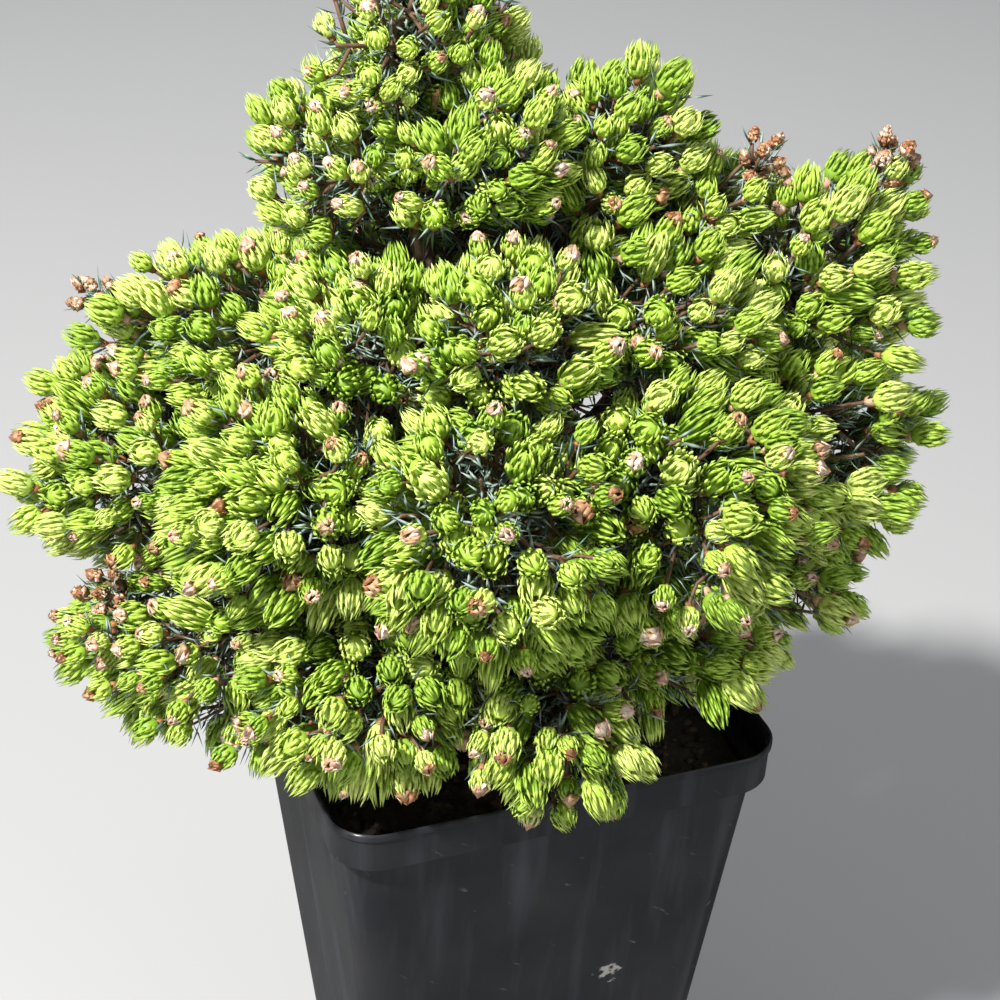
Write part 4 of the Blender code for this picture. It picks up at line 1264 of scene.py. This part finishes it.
def make_pot():
    """A square pot drawn up from its foot, with a stepped collar, a rolled lip and drain holes."""
    deselect()
    bpy.ops.mesh.primitive_cube_add(size=1, location=(0, 0, LEDGE / 2))
    pot = bpy.context.object
    pot.name = pot.data.name = "moulded_pot"
    bpy.ops.object.mode_set(mode="EDIT")
    bpy.ops.transform.resize(value=(FOOT_SIDE, FOOT_SIDE, LEDGE), center_override=(0, 0, LEDGE / 2))
    picked(pot, "FACE", lambda face: face.normal.z > 0.9)
    spread = wall_side(LEDGE) / FOOT_SIDE
    bpy.ops.transform.resize(value=(spread, spread, 1), center_override=(0, 0, 0))
    picked(pot, "EDGE", lambda edge: abs(edge.verts[0].co.z - edge.verts[1].co.z) > LEDGE / 2)
    bpy.ops.mesh.bevel(offset=CORNER_RADIUS, offset_type="OFFSET", segments=10, affect="EDGES")
    picked(pot, "FACE", lambda face: face.normal.z > 0.9)
    bpy.ops.mesh.delete(type="FACE")
    picked(pot, "EDGE", lambda edge: edge.is_boundary)
    side = wall_side(LEDGE)
    for rise, side_after in COLLAR_PROFILE:
        grown(rise, side_after / side)
        side = side_after
    picked(pot, "FACE", lambda face: face.normal.z < -0.9 and face.calc_center_median().z < 0.001)
    bpy.ops.mesh.inset(thickness=0.009, depth=0)
    bpy.ops.mesh.inset(thickness=0.0012, depth=-0.0008)
    bpy.ops.object.mode_set(mode="OBJECT")
    modified(pot, "SOLIDIFY", thickness=WALL, offset=-1.0, use_even_offset=True)
    for number in range(DRAIN_COUNT):
        deselect()
        angle = math.tau * (number + 0.5) / DRAIN_COUNT
        place = DRAIN_REACH * math.cos(angle), DRAIN_REACH * math.sin(angle), 0
        bpy.ops.mesh.primitive_cylinder_add(vertices=40, radius=DRAIN_RADIUS, depth=6 * WALL, location=place)
        punch = bpy.context.object
        modified(pot, "BOOLEAN", operation="DIFFERENCE", solver="EXACT", object=punch)
        bpy.data.objects.remove(punch, do_unlink=True)
    modified(pot, "BEVEL", width=0.0003, segments=2, limit_method="ANGLE", angle_limit=math.radians(28))
    settled(pot)
    return pot


COMPOST_FOOT = 0.0034
COMPOST_GRID = 88
LOOSE_FIT = 2 * (WALL + CLEARANCE) * 1.03


def make_compost():
    """The root ball: a fine grid in the pot's rounded inside, heaped unevenly, on tapering sides."""
    inside = wall_side(COMPOST_TOP) - LOOSE_FIT
    share = (wall_side(COMPOST_FOOT) - LOOSE_FIT) / inside
    deselect()
    top = {"size": inside, "location": (0, 0, COMPOST_TOP)}
    bpy.ops.mesh.primitive_grid_add(x_subdivisions=COMPOST_GRID, y_subdivisions=COMPOST_GRID, **top)
    block = bpy.context.object
    block.name = block.data.name = "rooted_compost"
    bpy.ops.object.mode_set(mode="EDIT")
    picked(block, "EDGE", lambda edge: edge.is_boundary)
    grown(COMPOST_FOOT - COMPOST_TOP, share)
    bpy.ops.mesh.edge_face_add()
    bpy.ops.object.mode_set(mode="OBJECT")
    settled(block)
    for point in block.data.vertices:
        on_top = point.co.z > COMPOST_TOP / 2
        round_corner(point.co, (inside if on_top else inside * share) / 2, CORNER_RADIUS - WALL)
        if on_top:
            point.co.z = compost_height(point.co.x, point.co.y)
    block.data.update()
    return block


def round_corner(place, half, radius):
    """Draws a point of a square in to the square's rounded corners."""
    flat = half - radius
    over = Vector((abs(place.x) - flat, abs(place.y) - flat))
    if min(over) > 0:
        drawn = over.normalized() * max(over)
        place.x = math.copysign(flat + drawn.x, place.x)
        place.y = math.copysign(flat + drawn.y, place.y)


def compost_height(x, y):
    heap = 0.0024 * noise.noise(Vector((x, y, 0.3)) * 38) * min(1.0, math.hypot(x, y) / 0.03)
    crumbs = 0.0011 * noise.noise(Vector((x, y, 1.7)) * 170) + 0.0006 * noise.noise(Vector((x, y, 4.1)) * 420)
    return COMPOST_TOP + heap + crumbs - 0.0006


CRUMBS = 900
CRUMB_FROM, CRUMB_TO = 0.013, 0.080  # from the middle


def make_crumbs(finishes):
    """Crumbs, bark chips and a few shed scales lying on the compost."""
    chance = np.random.default_rng(11)
    shape = bmesh.new()
    bmesh.ops.create_icosphere(shape, subdivisions=1, radius=1.0)
    shape.verts.ensure_lookup_table()
    ball = np.array([vert.co[:] for vert in shape.verts])
    faces = np.array([[vert.index for vert in face.verts] for face in shape.faces])
    shape.free()
    gathered = Gathered()
    reach = wall_side(COMPOST_TOP) / 2 - 0.006
    for _ in range(CRUMBS):
        x, y = chance.uniform(-reach, reach, 2)
        if not CRUMB_FROM <= math.hypot(x, y) <= CRUMB_TO:
            continue
        size = chance.uniform(0.0005, 0.0019)
        size = size * np.array([chance.uniform(0.8, 2.0), 1.0, chance.uniform(0.3, 0.8)])
        turn = Matrix.Rotation(chance.uniform(0, math.tau), 3, "Z")
        tilt = Matrix.Rotation(chance.normal(0, 0.35), 3, "Y")
        points = ball * size * chance.uniform(0.75, 1.25, (len(ball), 1))
        points = points @ np.array(turn @ tilt).T + np.array([x, y, compost_height(x, y) + size[2] * 0.5])
        kind = chance.choice(3, p=(0.70, 0.24, 0.06))
        gathered.add(points, faces, np.full(len(faces), kind))
    return joined_piece("compost_crumbs", gathered, finishes)


# ---- trunk and boughs

LIMB_GRAIN = 0.0010
RELIEF = 0.00042
SUNK = 0.003  # how far the trunk stands in the compost


def limb_curve(name, points, radii):
    curve = bpy.data.curves.new(name, "CURVE")
    curve.dimensions = "3D"
    curve.bevel_depth = 1.0
    curve.bevel_resolution = 5
    curve.use_fill_caps = True
    spline = curve.splines.new("POLY")
    spline.points.add(len(points) - 1)
    for knot, point, radius in zip(spline.points, points, radii):
        knot.co = (*point, 1.0)
        knot.radius = radius
    made = bpy.data.objects.new(name, curve)
    bpy.context.scene.collection.objects.link(made)
    return made


def flare(mesh):
    """Roots that spread where the trunk meets the compost."""
    for point in mesh.vertices:
        rise = (point.co.z - TRUNK_FOOT) / FLARE_HEIGHT
        away = point.co.xy.length
        if rise < 1.0 and 1e-5 < away < 0.03:
            lobe = 1 - FLARE_LOBE_DEPTH * (1 - math.cos(FLARE_LOBES * math.atan2(point.co.y, point.co.x)))
            flared = away + FLARE_RADIUS * lobe * (1.0 - max(0.0, rise)) ** 2
            point.co.x *= flared / away
            point.co.y *= flared / away


def bark_relief(place):
    drawn = Vector((place.x, place.y, place.z * 0.4))
    near = noise.voronoi(drawn * 260)[0]
    return RELIEF * (min(1.0, (near[1] - near[0]) * 3.0) + 0.5 * noise.noise(drawn * 700) - 0.7)


def make_bark():
    """Trunk and boughs grown into one skin, with the flakes and furrows of their bark."""
    lines = [limb_curve("trunk_line", *trunk_line(TRUNK_FOOT - SUNK, 40))]
    for name in SPACES:
        if name not in FROM_TRUNK:
            points = [*bough_points(name), stem_line(name)[1]]
            lines.append(limb_curve(f"bough_line_{name}", points, [*BOUGH_RADII, TWIG_RADIUS * 1.2]))
    deselect()
    for line in lines:
        line.select_set(True)
    bpy.context.view_layer.objects.active = lines[0]
    bpy.ops.object.convert(target="MESH")
    flare(lines[0].data)
    bpy.ops.object.join()
    limbs = bpy.context.object
    limbs.name = limbs.data.name = "bark_of_trunk_and_boughs"
    modified(limbs, "REMESH", mode="VOXEL", voxel_size=LIMB_GRAIN)
    count = len(limbs.data.vertices)
    places, normals = np.empty(count * 3, np.float32), np.empty(count * 3, np.float32)
    limbs.data.vertices.foreach_get("co", places)
    limbs.data.vertex_normals.foreach_get("vector", normals)
    relief = np.repeat([bark_relief(Vector(place)) for place in places.reshape(-1, 3)], 3)
    limbs.data.vertices.foreach_set("co", places + normals * relief.astype(np.float32))
    limbs.data.update()
    settled(limbs)
    return limbs


# ---- floor, light and camera

LIGHTS = (  # place, size and power
    ("key_light", (-1.28, -0.68, 2.07), 0.20, 120),
    ("fill_light", (1.3, -1.6, 1.3), 1.8, 13),
    ("back_light", (0.5, 1.8, 1.6), 1.6, 9),
)
LIGHTS_AIM = Vector((0, 0, 0.28))
SKY = (0.86, 0.91, 1.0, 1.0)
SKY_STRENGTH = 0.36
CAMERA_AZIMUTH = math.radians(-20.4)
CAMERA_ELEVATION = math.radians(29.7)
CAMERA_ROLL = math.radians(1.4)
CAMERA_AIM = Vector((0, 0, 0.2))
CAMERA_DISTANCE = 0.6835
CAMERA_ASIDE = 0.0029
CAMERA_ABOVE = 0.0565
CAMERA_LENS = 72.0


def make_stage():
    deselect()
    bpy.ops.mesh.primitive_plane_add(size=8, location=(0, 0, 0))
    floor = bpy.context.object
    floor.name = "pale_floor"
    floor.data.materials.append(finish("floor_paint", (0.42, 0.415, 0.405), 0.8)[0])
    for name, place, size, power in LIGHTS:
        lamp = bpy.data.lights.new(name, "AREA")
        lamp.shape = "DISK"
        lamp.size = size
        lamp.energy = power
        made = bpy.data.objects.new(name, lamp)
        made.location = place
        made.rotation_euler = (Vector(place) - LIGHTS_AIM).to_track_quat("Z", "Y").to_euler()
        bpy.context.scene.collection.objects.link(made)
    world = bpy.data.worlds.new("studio")
    world.use_nodes = True
    world.node_tree.nodes["Background"].inputs["Color"].default_value = SKY
    world.node_tree.nodes["Background"].inputs["Strength"].default_value = SKY_STRENGTH
    bpy.context.scene.world = world
    bpy.context.scene.view_settings.view_transform = "Standard"


def make_camera():
    """The camera looks down on the plant from its left front, with a slight roll."""
    left, front = math.sin(CAMERA_AZIMUTH), math.cos(CAMERA_AZIMUTH)
    level = math.cos(CAMERA_ELEVATION)
    back = Vector((left * level, -front * level, math.sin(CAMERA_ELEVATION)))
    right = Vector((front, left, 0))
    up = back.cross(right)
    side = right * math.cos(CAMERA_ROLL) + up * math.sin(CAMERA_ROLL)
    top = up * math.cos(CAMERA_ROLL) - right * math.sin(CAMERA_ROLL)
    place = CAMERA_AIM + back * CAMERA_DISTANCE + side * CAMERA_ASIDE + top * CAMERA_ABOVE
    lens = bpy.data.cameras.new("camera")
    lens.lens = CAMERA_LENS
    lens.sensor_width = 36.0
    lens.clip_start = 0.01
    camera = bpy.data.objects.new("camera", lens)
    camera.matrix_world = Matrix.Translation(place) @ Matrix((side, top, back)).transposed().to_4x4()
    bpy.context.scene.collection.objects.link(camera)
    bpy.context.scene.camera = camera


# ---- the plant, put together


def batches(crops, triangles_of):
    """Groups of neighbouring masses whose joined piece stays under the limit, numbered from 1."""
    batch, total, number = [], 0, 1
    for name, crop in crops.items():
        grown_here = triangles_of(crop)
        if batch and total + grown_here > MOST_TRIANGLES:
            yield number, batch
            batch, total, number = [], 0, number + 1
        batch.append(name)
        total += grown_here
    yield number, batch


def new_needle_triangles(crop):
    total = 0
    for tuft in crop.tufts:
        if tuft.kind in FORMS:
            form = FORMS[tuft.kind]
            total += form.count * len(NEEDLE_FACES if form.curved else PLAIN_FACES) + len(CORE_FACES)
    return total


def old_needle_triangles(crop):
    run = sum((end - start).length * (1 - bare) for start, _, end, bare in crop.clothed)
    return int(run * OLD_NEEDLES_PER_METRE * len(PLAIN_FACES) * 1.05)


def set_in_place(piece, nodes):
    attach(piece, "root")
    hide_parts(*nodes)


def make_foliage():
    limbs, taken, crown = all_limbs(), Places(), Crown()
    spire = grow_spire(taken)
    crops = {name: grow_mass(name, limbs, taken, crown) for name in SPACES}
    crops["leader_right"].join(spire)
    fresh = finishes_of("needle", NEW_ROWS)
    for number, batch in batches(crops, new_needle_triangles):
        gathered, chance = Gathered(), np.random.default_rng(100 + number)
        for kind in FORMS:
            tufts = [tuft for name in batch for tuft in crops[name].tufts if tuft.kind == kind]
            if tufts:
                grow_tufts(tufts, kind, gathered, chance)
        set_in_place(joined_piece(f"new_needles_{number}", gathered, fresh), batch)
    old = finishes_of("old_needle", OLD_ROWS)
    for number, batch in batches(crops, old_needle_triangles):
        gathered = Gathered()
        clothed = [line for name in batch for line in crops[name].clothed]
        grow_old_needles(clothed, gathered, np.random.default_rng(200 + number))
        set_in_place(joined_piece(f"old_needles_{number}", gathered, old), batch)
    gathered = Gathered()
    twigs = [twig for crop in crops.values() for twig in crop.twigs]
    gathered.add_copies(twig_points(twigs), TWIG_FACES, np.zeros((1, 1), int))
    set_in_place(joined_piece("twigs", gathered, finishes_of("twig", TWIG_ROWS)), list(crops))
    scales, chance = Gathered(), np.random.default_rng(300)
    tufts = [tuft for crop in crops.values() for tuft in crop.tufts]
    grow_caps([tuft for tuft in tufts if tuft.capped], scales, chance)
    grow_buds([tuft for tuft in tufts if tuft.kind == "bud"], scales, chance)
    grow_collars([tuft for tuft in tufts if tuft.kind != "bud"], scales, chance)
    scale_finishes = finishes_of("scale", SCALE_TONES)
    set_in_place(joined_piece("bud_scales", scales, scale_finishes, False), list(crops))


make_camera()
make_mottling()
make_dust()
make_streaks()
make_smear()
make_furrows()

pot = make_pot()
pot.data.materials.append(pot_finish())
set_in_place(pot, ["pot"])

compost = make_compost()
compost.data.materials.append(compost_finish("compost", (0.012, 0.008, 0.006), (0.040, 0.026, 0.017)))
set_in_place(compost, ["compost"])
set_in_place(make_crumbs([compost_finish(*row) for row in CRUMB_ROWS]), ["compost"])

bark = make_bark()
bark.data.materials.append(bark_finish())
boughs = [f"bough_{name}" for name in SPACES if name not in FROM_TRUNK]
set_in_place(bark, ["trunk", *boughs])

make_foliage()
make_stage()
